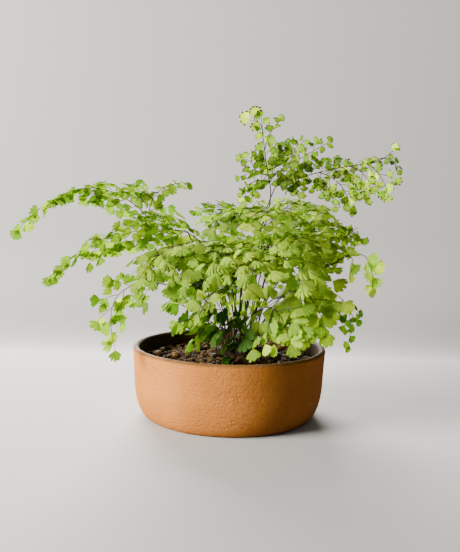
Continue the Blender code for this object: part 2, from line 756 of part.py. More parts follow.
def build_granules(ground, surfaces, parts):
    clay = material("granule_clay", (0.19, 0.09, 0.045), 0.9)
    rng = np.random.default_rng(11)
    made = 0
    for step in range(GRANULE_TRIES):
        turn = GOLDEN_ANGLE * step
        away = rng.uniform(*GRANULE_RING)
        above = Vector((away * math.cos(turn), away * math.sin(turn), BOWL_HEIGHT))
        points, faces = pebble(rng.uniform(*GRANULE_RADII), rng, Vector((step, 0, 0)))
        points = let_down(points, above, ground)
        if not points or near(tree_of(surfaces), points, CLEARANCE):
            continue
        made += 1
        name = f"granule_{made:02d}"
        add_mesh(name, points, faces, parts, clay)
        surfaces[name] = (points, faces)
        if made == GRANULE_COUNT:
            return
    raise RuntimeError("no room for the granules")


def main():
    clear_scene()
    parts = new_collection("potted_maidenhair_fern")
    cutters = new_collection("cutters")
    bowl = build_bowl(parts, cutters)
    build_net(parts, cutters)
    mix = build_mix(parts, cutters)
    root = material("rhizome", (0.03, 0.018, 0.012), 0.9)
    rhizome = rhizome_lump("rhizome", 0.0, RHIZOME_LUMP, parts, root)
    bpy.context.view_layer.update()
    ground = tree_of({"mix": surface_of(mix)})
    surfaces = {"pot": surface_of(bowl), "mix": surface_of(mix)}
    build_fronds(surfaces, parts)
    surfaces["rhizome"] = surface_of(rhizome)
    del surfaces["mix"]
    build_granules(ground, surfaces, parts)


main()
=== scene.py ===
"""Looks of the potted maidenhair fern: bowl, mix, granules, rhizome, fronds and a plain stage.

Metres, +Z up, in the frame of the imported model. Run it as a script; the sidebar panel lists the
same steps as buttons.
"""
import math
from collections import namedtuple

import bmesh
import bpy
import numpy as np
from bpy.props import FloatProperty, FloatVectorProperty, IntProperty, PointerProperty
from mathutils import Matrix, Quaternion, Vector, noise


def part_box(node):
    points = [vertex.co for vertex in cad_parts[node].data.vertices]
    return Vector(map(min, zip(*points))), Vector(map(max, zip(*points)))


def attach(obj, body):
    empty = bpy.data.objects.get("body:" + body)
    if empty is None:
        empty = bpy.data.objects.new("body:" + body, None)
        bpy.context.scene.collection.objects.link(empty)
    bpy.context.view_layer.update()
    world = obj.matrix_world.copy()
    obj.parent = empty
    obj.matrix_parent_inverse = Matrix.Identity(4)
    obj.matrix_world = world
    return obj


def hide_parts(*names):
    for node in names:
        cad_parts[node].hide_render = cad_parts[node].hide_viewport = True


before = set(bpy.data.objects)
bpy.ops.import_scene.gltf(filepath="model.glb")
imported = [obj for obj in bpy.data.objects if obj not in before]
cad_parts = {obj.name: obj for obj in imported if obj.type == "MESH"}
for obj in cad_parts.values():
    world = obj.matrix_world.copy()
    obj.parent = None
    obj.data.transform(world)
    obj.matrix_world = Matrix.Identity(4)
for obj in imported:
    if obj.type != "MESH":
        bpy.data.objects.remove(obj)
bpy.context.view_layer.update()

bl_info = {
    "name": "Potted Maidenhair Fern",
    "version": (1, 0, 0),
    "blender": (4, 5, 0),
    "location": "View3D > Sidebar > Fern",
    "description": "Builds a maidenhair fern in a shallow terracotta bowl, leaf by leaf",
    "category": "Add Mesh",
}

BODY = "root"
MM = 0.001
GAP = 0.3 * MM                    # between pieces that touch
GOLDEN_ANGLE = 2.4                # radians

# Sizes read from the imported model
BOWL_LOW, BOWL_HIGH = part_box("pot")
RIM_RADIUS = (BOWL_HIGH.x - BOWL_LOW.x) / 2
BOWL_HEIGHT = BOWL_HIGH.z
RHIZOME_LOW, RHIZOME_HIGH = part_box("rhizome")
NET_LOW, NET_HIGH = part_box("drainage_net")

# Bowl
SHOULDER_RADIUS = RIM_RADIUS - 1.3 * MM
FOOT_RADIUS = RIM_RADIUS - 13.0 * MM
SHOULDER_HEIGHT = 30.0 * MM
WALL = 4.6 * MM
FLOOR = NET_LOW.z - GAP
DRAIN_RADIUS = 9.0 * MM
DRAIN_OFFSET = 26.0 * MM          # of each of the two holes, to the left and to the right
RIM_FLAT = 0.94                   # height of the lip's top as a part of a round one's

# Net
NET_HOLE_RADIUS = 1.9 * MM
NET_HOLE_RINGS = 6
NET_RING_STEP = 5.6 * MM

# Mix and granules
MIX_EDGE_HEIGHT = 42.5 * MM
MIX_CROWN_HEIGHT = 46.5 * MM
MIX_MOUND_WIDTH = 45.0 * MM
MIX_RADIUS = SHOULDER_RADIUS - WALL - GAP
LARGE_GRANULE = 1.9 * MM          # radius from which a granule gets more faces
CROWDING = 0.78                   # least distance of two granules, as a part of their radii
FACETS = 11                       # blunt breaks round a granule

# Rhizome
CROWN = np.array((RHIZOME_LOW + RHIZOME_HIGH) / 2)
RHIZOME_RADII = np.array((RHIZOME_HIGH - RHIZOME_LOW) / 2)
HAIRS = 520
STUB_EVERY = 26                   # one in so many hairs is a stub of an old stalk

# Feet of the fronds on the rhizome
FOOT_SPACING = 3.6 * MM
FOOT_SPREAD = 0.8                 # part of the rhizome's radius that is used at first
FOOT_LIMIT = 0.85                 # and at most
FOOT_ROUNDS = 200
STIPE_BOW = 0.07                  # of its length

# Radii of the stalks: at the foot of a blade's main stalk, of its side branches and of theirs
STALKS = (0.42 * MM, 0.26 * MM, 0.18 * MM)
STALK_TIP = 0.18 * MM
BRANCH_TIP = 0.12 * MM
STALKLET = (0.13 * MM, 0.10 * MM)

# Branching, with lengths as parts of a leaflet's length
ONE_LEAFLET = 1.35                # a side branch shorter than this is a single leaflet
BRANCHED = 1.7                    # one longer than this branches again
LEAFLET_STEP = 0.48               # between the leaflets of a side branch
BRANCH_STEP = 0.40                # between side branches,
REACH_STEP = 0.16                 # to which this part of their reach is added
BRANCH_LEAN = math.radians(48)    # of a leaflet from its side branch
BRANCH_SAG = 0.14                 # of the side branch's own length
STEEP_RUN = 8.0 * MM              # a blade whose level run is shorter turns to face outward

# Leaflets
LEAFLET_LENGTH = 0.76             # as a part of a leaflet's width
FAN_HALF = (50, 72)               # half the angle of the fan, in degrees
LOBES = (4, 7)                    # at least, and below
LOBE_STEPS = 5
LOBE_SPREAD = (0.5, 1.5)          # depth of a notch, as parts of the blade's cut
INNER_RING = 0.55                 # of the points between a leaflet's base and its edge
TONE_SPREAD = 0.11
LOOSE = 0.28                      # spread of the way that leaflets face
LOOSE_FERTILE = 0.55
SORUS_CHANCE = 0.85               # for each lobe on a fertile frond
SORUS_RADII = np.array((0.08, 0.16, 0.055))    # as parts of the leaflet's length

# A blade runs from its frond's knee, or from a fork on an earlier blade, over its crest to its
# tip. Reach is how far the lowest side branches stand out, roll turns the blade about its length
# from level, and tone runs from 0, dark green, to 1, pale green: partly the leaflets' age, from old
# to new, and partly painted light and shade, lighter or darker by how the blade catches the light.
# Gap spreads the leaflets out, hang is how far they droop, bare is the part of its length before
# the first leaflet, and cut is how deep the leaflets are lobed, where they aren't as on the rest of
# the frond. A fork names the earlier blade, counted from 0, and the part of its length. Points,
# reach and leaflet width are in millimetres, roll in degrees.
Blade = namedtuple("Blade", "crest tip reach leaflet roll tone gap hang bare cut fork",
                   defaults=(1.0, 0.15, 0.03, None, None))
Frond = namedtuple("Frond", "name knee cut blades fertile", defaults=(False,))

FRONDS = (
    Frond("top_high", (28, 0, 182), 0.14, (
        Blade((23, -4, 208), (20, -9, 230), 5, 8, 60, 0.42, gap=1.1, hang=0, bare=0.35),
        Blade((15, -15, 182), (7, -25, 175), 11, 8, 65, 0.34, hang=0, bare=0.12),
        Blade((40, 0, 199), (49, 0, 213), 13, 7.5, 70, 0.33, gap=1.05, hang=0, fork=(0, 0.2)),
        Blade((17, -5, 191), (13, -10, 201), 13, 7.5, 70, 0.33, hang=0, fork=(0, 0.12)),
        Blade((53, 14, 202), (74, 24, 215), 10, 7.5, 65, 0.33, gap=1.05, hang=0, fork=(0, 0.06)),
        Blade((17, -8, 227), (13, -9, 228), 2, 12, 65, 0.6, gap=1.5, hang=0, bare=0.3, fork=(0, 0.72)),
        Blade((29, -6, 222), (33, -6, 227), 1, 8, 65, 0.4, gap=1.5, hang=0, bare=0.3, fork=(0, 0.5)),
        Blade((35, -3, 191), (45, -5, 189), 8, 8.5, 70, 0.34, gap=1.1, hang=0)), fertile=True),
    Frond("top_right", (33, 8, 179), 0.14, (
        Blade((74, 5, 193), (108, 0, 199), 9, 7.5, 62, 0.34, gap=0.95, hang=0.1, bare=0.12),
        Blade((81, 0, 183), (90, -4, 164), 9, 8.5, 60, 0.38, gap=0.8, hang=0.3, fork=(0, 0.45)),
        Blade((102, -5, 186), (103, -9, 175), 8, 10.5, 65, 0.55, gap=0.85, hang=0.3, bare=0.1, cut=0.2,
              fork=(0, 0.75)),
        Blade((112, -4, 189), (117, -8, 177), 7, 9.5, 65, 0.7, hang=0.3, bare=0.3, cut=0.2,
              fork=(0, 0.93)),
        Blade((118, 0, 205), (121, 0, 208), 1, 8, 60, 0.75, bare=0.97, cut=0.1, fork=(0, 0.97)),
        Blade((121, -2, 201), (126, -2, 195), 1, 6.5, 60, 0.2, bare=0.4, fork=(0, 0.95)),
        Blade((48, 0, 182), (52, -6, 177), 8, 8.5, 60, 0.5, gap=1.2, hang=0.2,
              bare=0.2)), fertile=True),
    Frond("left_high", (-66, 10, 153), 0.26, (
        Blade((-101, 5, 174), (-164, -2, 143), 9, 12.5, 34, 0.45, gap=0.72, hang=0.2, bare=0.1),
        Blade((-61, 25, 172), (-40, 45, 181), 7, 11.5, 34, 0.42, gap=0.72, hang=0.2, bare=0.1),
        Blade((-74, 22, 173), (-87, 20, 174), 8, 10.5, 34, 0.42, gap=0.68, hang=0.2, bare=0.1,
              fork=(1, 0.3)))),
    Frond("left_mid", (-34, -5, 143), 0.28, (
        Blade((-85, -12, 140), (-134, -25, 109), 14, 12.5, 36, 0.48, gap=0.74, hang=0.3),)),
    Frond("left_crest", (-21, 5, 132), 0.28, (
        Blade((-52, 10, 149), (-78, 15, 151), 24, 12.5, 28, 0.42, gap=0.8),)),
    Frond("left_fore", (-19, -15, 130), 0.26, (
        Blade((-40, -50, 135), (-62, -85, 114), 32, 13.5, 15, 0.5, gap=0.9, hang=0.5),)),
    Frond("left_drape", (-14, -20, 125), 0.26, (
        Blade((-28, -50, 134), (-41, -82, 111), 32, 12, 0, 0.55, gap=0.9, hang=0.9),)),
    Frond("left_inner", (-8, -20, 120), 0.26, (
        Blade((-16, -60, 130), (-24, -85, 102), 28, 12, 0, 0.55, gap=0.9, hang=0.9),)),
    Frond("left_hang", (-56, -35, 106), 0.26, (
        Blade((-78, -42, 101), (-83, -48, 60), 15, 12.5, 60, 0.5, gap=0.95, hang=0.2, bare=0.15),
        Blade((-61, -42, 102), (-63, -48, 95), 7, 14, 45, 0.42, hang=0.2, bare=0.1))),
    Frond("left_low", (-36, -38, 92), 0.26, (
        Blade((-42, -45, 95), (-45, -52, 94), 4, 12.5, 40, 0.38),)),
    Frond("low_left", (-13, -20, 75), 0.22, (
        Blade((-25, -36, 81), (-36, -46, 79), 4, 14, 60, 0.2, gap=0.9),
        Blade((-21, -40, 75), (-26, -54, 70), 3, 16.5, 70, 0.3, gap=0.9, hang=0.1))),
    Frond("low_front", (-4, -18, 70), 0.22, (
        Blade((-8, -40, 75), (-11, -54, 75), 9, 18, 75, 0, gap=0.9, hang=0.1),
        Blade((-6, -22, 83), (-12, -28, 94), 8, 7, 60, 0.8, gap=1.1))),
    Frond("low_right", (6, -16, 68), 0.22, (
        Blade((7, -38, 73), (10, -54, 71), 8, 17.5, 75, 0, gap=0.85, hang=0.1),
        Blade((3, -26, 73), (2, -34, 79), 6, 12, 60, 0.1, gap=0.9),
        Blade((16, -24, 82), (23, -30, 90), 8, 7, 60, 0.7, gap=1.1))),
    Frond("dark_left", (-4, -20, 103), 0.22, (
        Blade((-19, -40, 110), (-29, -58, 105), 20, 12, 15, 0.12),
        Blade((-15, -38, 98), (-22, -56, 85), 17, 9, 30, 0.5, hang=0.3))),
    Frond("crest_back_left", (21, 25, 147), 0.22, (
        Blade((-2, 45, 161), (-30, 60, 158), 12, 8.5, 25, 0.36, hang=0.1),)),
    Frond("crest_left", (23, 5, 155), 0.22, (
        Blade((4, -15, 163), (-13, -35, 145), 19, 11.5, 5, 0.25, gap=0.9),)),
    Frond("crest_right_back", (27, 15, 146), 0.22, (
        Blade((56, 40, 167), (79, 60, 157), 40, 8.5, 8, 0.56, hang=0.3),)),
    Frond("crest_right", (32, 10, 139), 0.22, (
        Blade((62, 10, 158), (77, 5, 138), 34, 8.5, 12, 0.6, hang=0.4),)),
    Frond("crest_front", (19, -5, 142), 0.22, (
        Blade((21, -45, 162), (28, -85, 149), 38, 10.5, 0, 0.55),)),
    Frond("crest_front_right", (28, -5, 131), 0.22, (
        Blade((37, -45, 146), (49, -85, 137), 36, 11.5, 5, 0.6, hang=0.2),)),
    Frond("centre_left", (5, -15, 120), 0.22, (
        Blade((-4, -55, 136), (-10, -95, 122), 32, 13.5, 0, 0.6, hang=0.3),)),
    Frond("centre_front", (11, -18, 115), 0.22, (
        Blade((13, -60, 133), (10, -105, 114), 32, 14, 0, 0.6, hang=0.3),)),
    Frond("centre_right", (19, -15, 115), 0.22, (
        Blade((34, -55, 130), (46, -90, 114), 34, 14, 10, 0.6, hang=0.3),)),
    Frond("rim_front", (23, -38, 90), 0.18, (
        Blade((32, -56, 91), (41, -76, 73), 22, 15, 55, 0.56, gap=0.8, hang=0.2),)),
    Frond("rim_right", (33, -35, 97), 0.18, (
        Blade((51, -55, 104), (67, -66, 79), 28, 15.5, 50, 0.58, gap=0.8, hang=0.2),
        Blade((49, -55, 99), (62, -62, 95), 14, 14, 50, 0.56, hang=0.2))),
    Frond("right_low", (54, 0, 101), 0.2, (
        Blade((87, -2, 93), (93, -4, 59), 13, 9, 45, 0.3, hang=0.3, bare=0.5),)),
    Frond("right_mid", (47, 5, 119), 0.2, (
        Blade((78, 18, 147), (101, 34, 144), 28, 9.5, 28, 0.52, gap=0.8, hang=0.4),
        Blade((74, 6, 124), (87, 4, 127), 9, 9, 40, 0.55, gap=0.8, hang=0.2, bare=0.2)), fertile=True),
    Frond("right_pale", (79, -10, 122), 0.2, (
        Blade((99, -12, 129), (108, -15, 106), 3, 12.5, -60, 1, gap=0.8, hang=0.3, bare=0.55),
        Blade((91, -13, 127), (91, -15, 117), 3, 11.5, -60, 0.95, hang=0.3, bare=0.45))),
    Frond("back_mid", (7, 40, 115), 0.22, (
        Blade((0, 80, 132), (-8, 120, 108), 40, 10, 0, 0.45, hang=0.2),)),
    Frond("back_right", (20, 40, 115), 0.22, (
        Blade((39, 75, 132), (63, 110, 110), 40, 10, 0, 0.45, hang=0.2),)),
    Frond("back_far_right", (25, 30, 121), 0.22, (
        Blade((58, 60, 139), (80, 85, 126), 28, 9.5, 0, 0.45, hang=0.2),)),
    Frond("back_left", (-4, 38, 118), 0.22, (
        Blade((-29, 65, 133), (-59, 95, 114), 32, 10, 0, 0.45, hang=0.2),)),
    Frond("back_low_left", (-9, 30, 93), 0.22, (
        Blade((-32, 60, 100), (-47, 82, 81), 22, 10.5, 15, 0.4, hang=0.2),)),
    Frond("back_low_mid", (12, 34, 90), 0.22, (
        Blade((13, 62, 96), (12, 90, 72), 26, 10.5, 10, 0.4, hang=0.2),)),
    Frond("back_low_right", (32, 34, 96), 0.22, (
        Blade((56, 58, 103), (71, 80, 84), 22, 10.5, 15, 0.4, hang=0.2),)),
)


# Settings

class FernBowlSettings(bpy.types.PropertyGroup):
    clay: FloatVectorProperty(
        name="Clay", description="Colour of the fired clay", subtype="COLOR",
        size=3, min=0, max=1, default=(0.61, 0.215, 0.038))
    ring_depth: FloatProperty(
        name="Ring Depth", description="Depth of the potter's throwing rings",
        unit="LENGTH", min=0, default=0.10 * MM)
    wobble: FloatProperty(
        name="Wobble", description="How far the hand-turned wall strays from round",
        unit="LENGTH", min=0, default=0.15 * MM)


class FernMixSettings(bpy.types.PropertyGroup):
    granules: IntProperty(
        name="Granules", description="Granules tried on the mix; some find no room",
        min=0, default=1500)
    smallest: FloatProperty(
        name="Smallest", description="Radius of the smallest granule",
        unit="LENGTH", min=0, default=1.2 * MM)
    largest: FloatProperty(
        name="Largest", description="Radius of the largest granule",
        unit="LENGTH", min=0, default=3.6 * MM)
    granule_colour: FloatVectorProperty(
        name="Granule Colour", description="Colour of the baked clay granules",
        subtype="COLOR", size=3, min=0, max=1, default=(0.145, 0.075, 0.022))
    mix_colour: FloatVectorProperty(
        name="Mix Colour", description="Colour of the moist crumb between the granules",
        subtype="COLOR", size=3, min=0, max=1, default=(0.030, 0.015, 0.009))


class FernPlantSettings(bpy.types.PropertyGroup):
    # Colours of the tone ramp; tone stands partly for age and partly for painted light and shade
    old_leaf: FloatVectorProperty(
        name="Old Leaf", description="Colour of the oldest, darkest leaflets",
        subtype="COLOR", size=3, min=0, max=1, default=(0.070, 0.155, 0.026))
    leaf: FloatVectorProperty(
        name="Leaf", description="Colour of grown leaflets",
        subtype="COLOR", size=3, min=0, max=1, default=(0.36, 0.485, 0.046))
    new_leaf: FloatVectorProperty(
        name="New Leaf", description="Colour of the palest, newest leaflets",
        subtype="COLOR", size=3, min=0, max=1, default=(0.66, 0.76, 0.16))
    stalk: FloatVectorProperty(
        name="Stalk", description="Colour of the wiry stalks",
        subtype="COLOR", size=3, min=0, max=1, default=(0.016, 0.009, 0.008))
    sorus: FloatVectorProperty(
        name="Sorus", description="Colour of the spore cases at the leaflet margins",
        subtype="COLOR", size=3, min=0, max=1, default=(0.075, 0.035, 0.010))
    see_through: FloatProperty(
        name="See Through", description="Part of the light that comes through a leaflet",
        subtype="FACTOR", min=0, max=1, default=0.55)
    leaf_thickness: FloatProperty(
        name="Leaf Thickness", description="Thickness of a leaflet",
        unit="LENGTH", min=0, default=0.22 * MM)
    stipe_radius: FloatProperty(
        name="Stipe Radius", description="Radius of a frond's stalk at its foot",
        unit="LENGTH", min=0, default=0.5 * MM)
    seed: IntProperty(
        name="Seed", description="Changes how the leaflets are set", min=0, default=100)


class FernStageSettings(bpy.types.PropertyGroup):
    floor: FloatVectorProperty(
        name="Floor", description="Colour of the floor and backdrop",
        subtype="COLOR", size=3, min=0, max=1, default=(0.50, 0.495, 0.485))
    bounce: FloatVectorProperty(
        name="Bounce", description="Colour of the floor in the light that it throws back",
        subtype="COLOR", size=3, min=0, max=1, default=(0.13, 0.11, 0.095))
    key_power: FloatProperty(
        name="Key Power", description="Power of the large light at the left",
        unit="POWER", min=0, default=108.0)
    camera_distance: FloatProperty(
        name="Camera Distance", description="From the camera to the bowl's axis",
        unit="LENGTH", min=0, default=0.594)
    camera_aside: FloatProperty(
        name="Camera Aside", description="From the bowl's axis to the camera, to the right",
        unit="LENGTH", default=-0.8 * MM)
    camera_height: FloatProperty(
        name="Camera Height", description="Height of the camera above the floor",
        unit="LENGTH", min=0, default=0.170)
    camera_pitch: FloatProperty(
        name="Camera Pitch", description="How far the camera looks down",
        unit="ROTATION", default=math.radians(5.85))
    camera_roll: FloatProperty(
        name="Camera Roll", description="How far the camera leans to its left",
        unit="ROTATION", default=math.radians(1.35))


# Mesh making

class Piece:
    """Collects shells into one mesh, with a tone and a leaf coordinate at each point."""

    def __init__(self):
        self.points = []
        self.faces = []
        self.slots = []
        self.tones = []
        self.fans = []
        self.count = 0

    def add(self, points, faces, slot=0, tone=0.5, fan=None):
        points = np.asarray(points, float)
        if isinstance(faces, np.ndarray):
            faces = (faces + self.count).tolist()
        else:
            faces = [[i + self.count for i in face] for face in faces]
        self.points.append(points)
        self.faces += faces
        self.slots += [slot] * len(faces)
        self.tones.append(np.broadcast_to(tone, len(points)))
        self.fans.append(np.zeros((len(points), 3)) if fan is None else fan)
        self.count += len(points)

    def build(self, name, materials, sharp=50):
        mesh = bpy.data.meshes.new(name)
        mesh.from_pydata(np.concatenate(self.points), [], self.faces)
        mesh.polygons.foreach_set("material_index", self.slots)
        for label, kind, key, values in (("tone", "FLOAT", "value", self.tones),
                                         ("fan", "FLOAT_VECTOR", "vector", self.fans)):
            made = mesh.attributes.new(label, kind, "POINT")
            made.data.foreach_set(key, np.concatenate(values).astype("f").ravel())
        for made in materials:
            mesh.materials.append(made)
        mesh.shade_smooth()
        mesh.set_sharp_from_angle(angle=math.radians(sharp))
        mesh.update()
        return in_scene(name, mesh)


def in_scene(name, data):
    thing = bpy.data.objects.new(name, data)
    bpy.context.scene.collection.objects.link(thing)
    return thing


def place(thing, node):
    """Ride the object on the one body and the node it stands for."""
    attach(thing, BODY)
    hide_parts(node)


def box_of(node):
    """Middle and half sizes of a node's box."""
    low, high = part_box(node)
    return np.array((low + high) / 2), np.array((high - low) / 2)


def unit(vector):
    return vector / max(np.linalg.norm(vector), 1e-12)


def ring_faces(rings, sides):
    """Quads between closed rings of points, ring by ring."""
    faces = []
    for ring in range(rings - 1):
        for side in range(sides):
            a = ring * sides + side
            b = ring * sides + (side + 1) % sides
            faces.append([a, b, b + sides, a + sides])
    return faces


def arc(middle, radii, start, stop, steps):
    """Points of an upright arc, from one angle in degrees to another."""
    turns = np.radians(np.linspace(start, stop, steps + 1))
    return [(middle[0] + radii[0] * math.cos(t), middle[1] + radii[1] * math.sin(t))
            for t in turns]


def tube(line, radii, sides):
    """Points and faces of a closed round tube along a line of points."""
    line = np.asarray(line, float)
    aheads = np.gradient(line, axis=0)
    across = np.cross(unit(aheads[0]), (0.31, 0.17, 0.93))
    turns = np.linspace(0, 2 * math.pi, sides, endpoint=False)
    points = []
    for here, ahead, radius in zip(line, aheads, radii):
        ahead = unit(ahead)
        across = unit(across - ahead * (across @ ahead))
        other = np.cross(ahead, across)
        points.append(here + radius * (np.outer(np.cos(turns), across)
                                       + np.outer(np.sin(turns), other)))
    end = (len(line) - 1) * sides
    faces = ring_faces(len(line), sides)
    faces += [list(range(sides))[::-1], list(range(end, end + sides))]
    return np.concatenate(points), faces


def lathe(profile, sides):
    """Points and faces of a turned solid. The profile runs from the axis round to the axis."""
    turns = np.linspace(0, 2 * math.pi, sides, endpoint=False)
    around = np.stack([np.cos(turns), np.sin(turns), np.ones(sides)], 1)
    rings = [around * (radius, radius, height) for radius, height in profile[1:-1]]
    points = np.concatenate([[(0, 0, profile[0][1])], *rings, [(0, 0, profile[-1][1])]])
    faces = [[i + 1 for i in face][::-1] for face in ring_faces(len(rings), sides)]
    end = len(points) - 1
    start = end - sides
    for side in range(sides):
        after = (side + 1) % sides
        faces.append([0, 1 + side, 1 + after])
        faces.append([end, start + after, start + side])
    return points, faces


def ball(level):
    """Points of a unit ball as an array, and its faces."""
    bm = bmesh.new()
    bmesh.ops.create_icosphere(bm, subdivisions=level, radius=1.0)
    points = np.array([vertex.co[:] for vertex in bm.verts])
    faces = np.array([[vertex.index for vertex in face.verts] for face in bm.faces])
    bm.free()
    return points, faces


def drilled(thing, radius, places):
    """Cut upright round holes through a mesh object, for good."""
    bm = bmesh.new()
    for x, y in places:
        made = bmesh.ops.create_cone(bm, cap_ends=True, segments=40, radius1=radius,
                                     radius2=radius, depth=6 * FLOOR)
        bmesh.ops.translate(bm, verts=made["verts"], vec=(x, y, 0))
    mesh = bpy.data.meshes.new("drill")
    bm.to_mesh(mesh)
    bm.free()
    drill = in_scene("drill", mesh)
    step = thing.modifiers.new("Holes", "BOOLEAN")
    step.operation = "DIFFERENCE"
    step.solver = "EXACT"
    step.object = drill
    graph = bpy.context.evaluated_depsgraph_get()
    whole = bpy.data.meshes.new_from_object(thing.evaluated_get(graph))
    thing.modifiers.clear()
    thing.data = whole
    bpy.data.objects.remove(drill)


# Shared effects

def connect(tree, made, inputs):
    """Link or set the inputs of a shader node."""
    for key, value in inputs.items():
        if isinstance(value, bpy.types.NodeSocket):
            tree.links.new(value, made.inputs[key])
        else:
            made.inputs[key].default_value = value


def add(tree, kind, inputs=None, **settings):
    """Add a shader node, set its properties, then set or link its inputs."""
    made = tree.nodes.new(kind)
    for key, value in settings.items():
        setattr(made, key, value)
    connect(tree, made, inputs or {})
    return made


def calc(tree, operation, *values, clamp=False):
    """Result of a Math node."""
    made = add(tree, "ShaderNodeMath", dict(enumerate(values)), operation=operation,
               use_clamp=clamp)
    return made.outputs[0]


def spread(tree, value, low, high, to_low=0.0, to_high=1.0):
    """Value mapped from one range to another, and kept within it."""
    made = add(tree, "ShaderNodeMapRange", {
        "Value": value, "From Min": low, "From Max": high,
        "To Min": to_low, "To Max": to_high})
    return made.outputs["Result"]


def blend(tree, part, first, second, mode="MIX"):
    """Two colours mixed by a part."""
    made = add(tree, "ShaderNodeMix", {"Factor": part}, data_type="RGBA", blend_type=mode)
    inputs = [s for s in made.inputs if s.type == "RGBA"]
    for value, target in zip((first, second), inputs):
        if isinstance(value, bpy.types.NodeSocket):
            tree.links.new(value, target)
        else:
            target.default_value = (*value, 1)
    return next(s for s in made.outputs if s.type == "RGBA")


def ramp(tree, level, *stops):
    """Colour at a level between stops, each a position and a colour."""
    made = add(tree, "ShaderNodeValToRGB", {"Fac": level})
    elements = made.color_ramp.elements
    elements[0].position = stops[0][0]
    elements[1].position = stops[-1][0]
    for position, _ in stops[1:-1]:
        elements.new(position)
    for element, (_, colour) in zip(elements, stops):
        element.color = (*colour, 1)
    return made.outputs["Color"]


def noise_value(tree, where, scale, detail, roughness):
    made = add(tree, "ShaderNodeTexNoise", {
        "Vector": where, "Scale": scale, "Detail": detail, "Roughness": roughness})
    return made.outputs[0]


def effect(name, result, numbers):
    """New shader node group of a vector and numbers, with its inputs and its output node."""
    tree = bpy.data.node_groups.new(name, "ShaderNodeTree")
    tree.interface.new_socket(name="Vector", in_out="INPUT", socket_type="NodeSocketVector")
    for label, value in numbers.items():
        made = tree.interface.new_socket(name=label, in_out="INPUT",
                                         socket_type="NodeSocketFloat")
        made.default_value = value
    tree.interface.new_socket(name=result, in_out="OUTPUT", socket_type="NodeSocketFloat")
    return tree, tree.nodes.new("NodeGroupInput").outputs, tree.nodes.new("NodeGroupOutput")


def mottle_group():
    """Soft cloudy patches from 0 to 1, with a finer speckle over them."""
    name = "Mottle"
    if name in bpy.data.node_groups:
        return bpy.data.node_groups[name]
    tree, given, result = effect(name, "Value", {
        "Scale": 40.0, "Speckle Scale": 600.0, "Speckle": 0.3})
    cloud = noise_value(tree, given["Vector"], given["Scale"], 4.0, 0.55)
    fine = noise_value(tree, given["Vector"], given["Speckle Scale"], 2.0, 0.6)
    dots = calc(tree, "MULTIPLY", calc(tree, "SUBTRACT", fine, 0.5), given["Speckle"])
    total = calc(tree, "ADD", spread(tree, cloud, 0.3, 0.7), dots, clamp=True)
    tree.links.new(total, result.inputs["Value"])
    return tree


def grit_group():
    """Height of a sandy surface: rounded grains with a few deeper pits."""
    name = "Grit"
    if name in bpy.data.node_groups:
        return bpy.data.node_groups[name]
    tree, given, result = effect(name, "Height", {"Scale": 1200.0, "Pits": 0.4})
    grain = noise_value(tree, given["Vector"], given["Scale"], 3.0, 0.6)
    sparse = add(tree, "ShaderNodeTexVoronoi", {
        "Vector": given["Vector"], "Scale": calc(tree, "MULTIPLY", given["Scale"], 0.3)})
    pit = spread(tree, sparse.outputs["Distance"], 0.0, 0.25, -1.0, 0.0)
    depth = calc(tree, "MULTIPLY", pit, given["Pits"])
    tree.links.new(calc(tree, "ADD", grain, depth), result.inputs["Height"])
    return tree


def mottle(tree, where, scale, speckle_scale, speckle):
    made = add(tree, "ShaderNodeGroup", {
        "Vector": where, "Scale": scale, "Speckle Scale": speckle_scale,
        "Speckle": speckle}, node_tree=mottle_group())
    return made.outputs["Value"]


def grit(tree, where, scale, pits):
    made = add(tree, "ShaderNodeGroup", {"Vector": where, "Scale": scale, "Pits": pits},
               node_tree=grit_group())
    return made.outputs["Height"]


# Materials

def start_material(name):
    """New material with its tree, its Principled shader and the object's own coordinates."""
    made = bpy.data.materials.new(name)
    made.use_nodes = True
    tree = made.node_tree
    where = add(tree, "ShaderNodeTexCoord").outputs["Object"]
    return made, tree, tree.nodes["Principled BSDF"], where


def stored(tree, name, output="Fac"):
    """A value that the mesh keeps at its points."""
    return add(tree, "ShaderNodeAttribute", attribute_name=name).outputs[output]


def feed(tree, shader, **sockets):
    """Link or set the shader's inputs, whose names have _ for a space."""
    connect(tree, shader, {key.replace("_", " "): value for key, value in sockets.items()})


def bump(tree, height, distance, strength=1.0):
    made = add(tree, "ShaderNodeBump", {
        "Height": height, "Distance": distance, "Strength": strength})
    return made.outputs[0]


def shade(colour, factor):
    return np.multiply(colour, factor).tolist()


def mix_in(tree, part, other_shader, shader):
    """Mix a second shader into the material's surface."""
    both = add(tree, "ShaderNodeMixShader", {
        0: part, 1: shader.outputs[0], 2: other_shader.outputs[0]})
    tree.links.new(both.outputs[0], tree.nodes["Material Output"].inputs["Surface"])


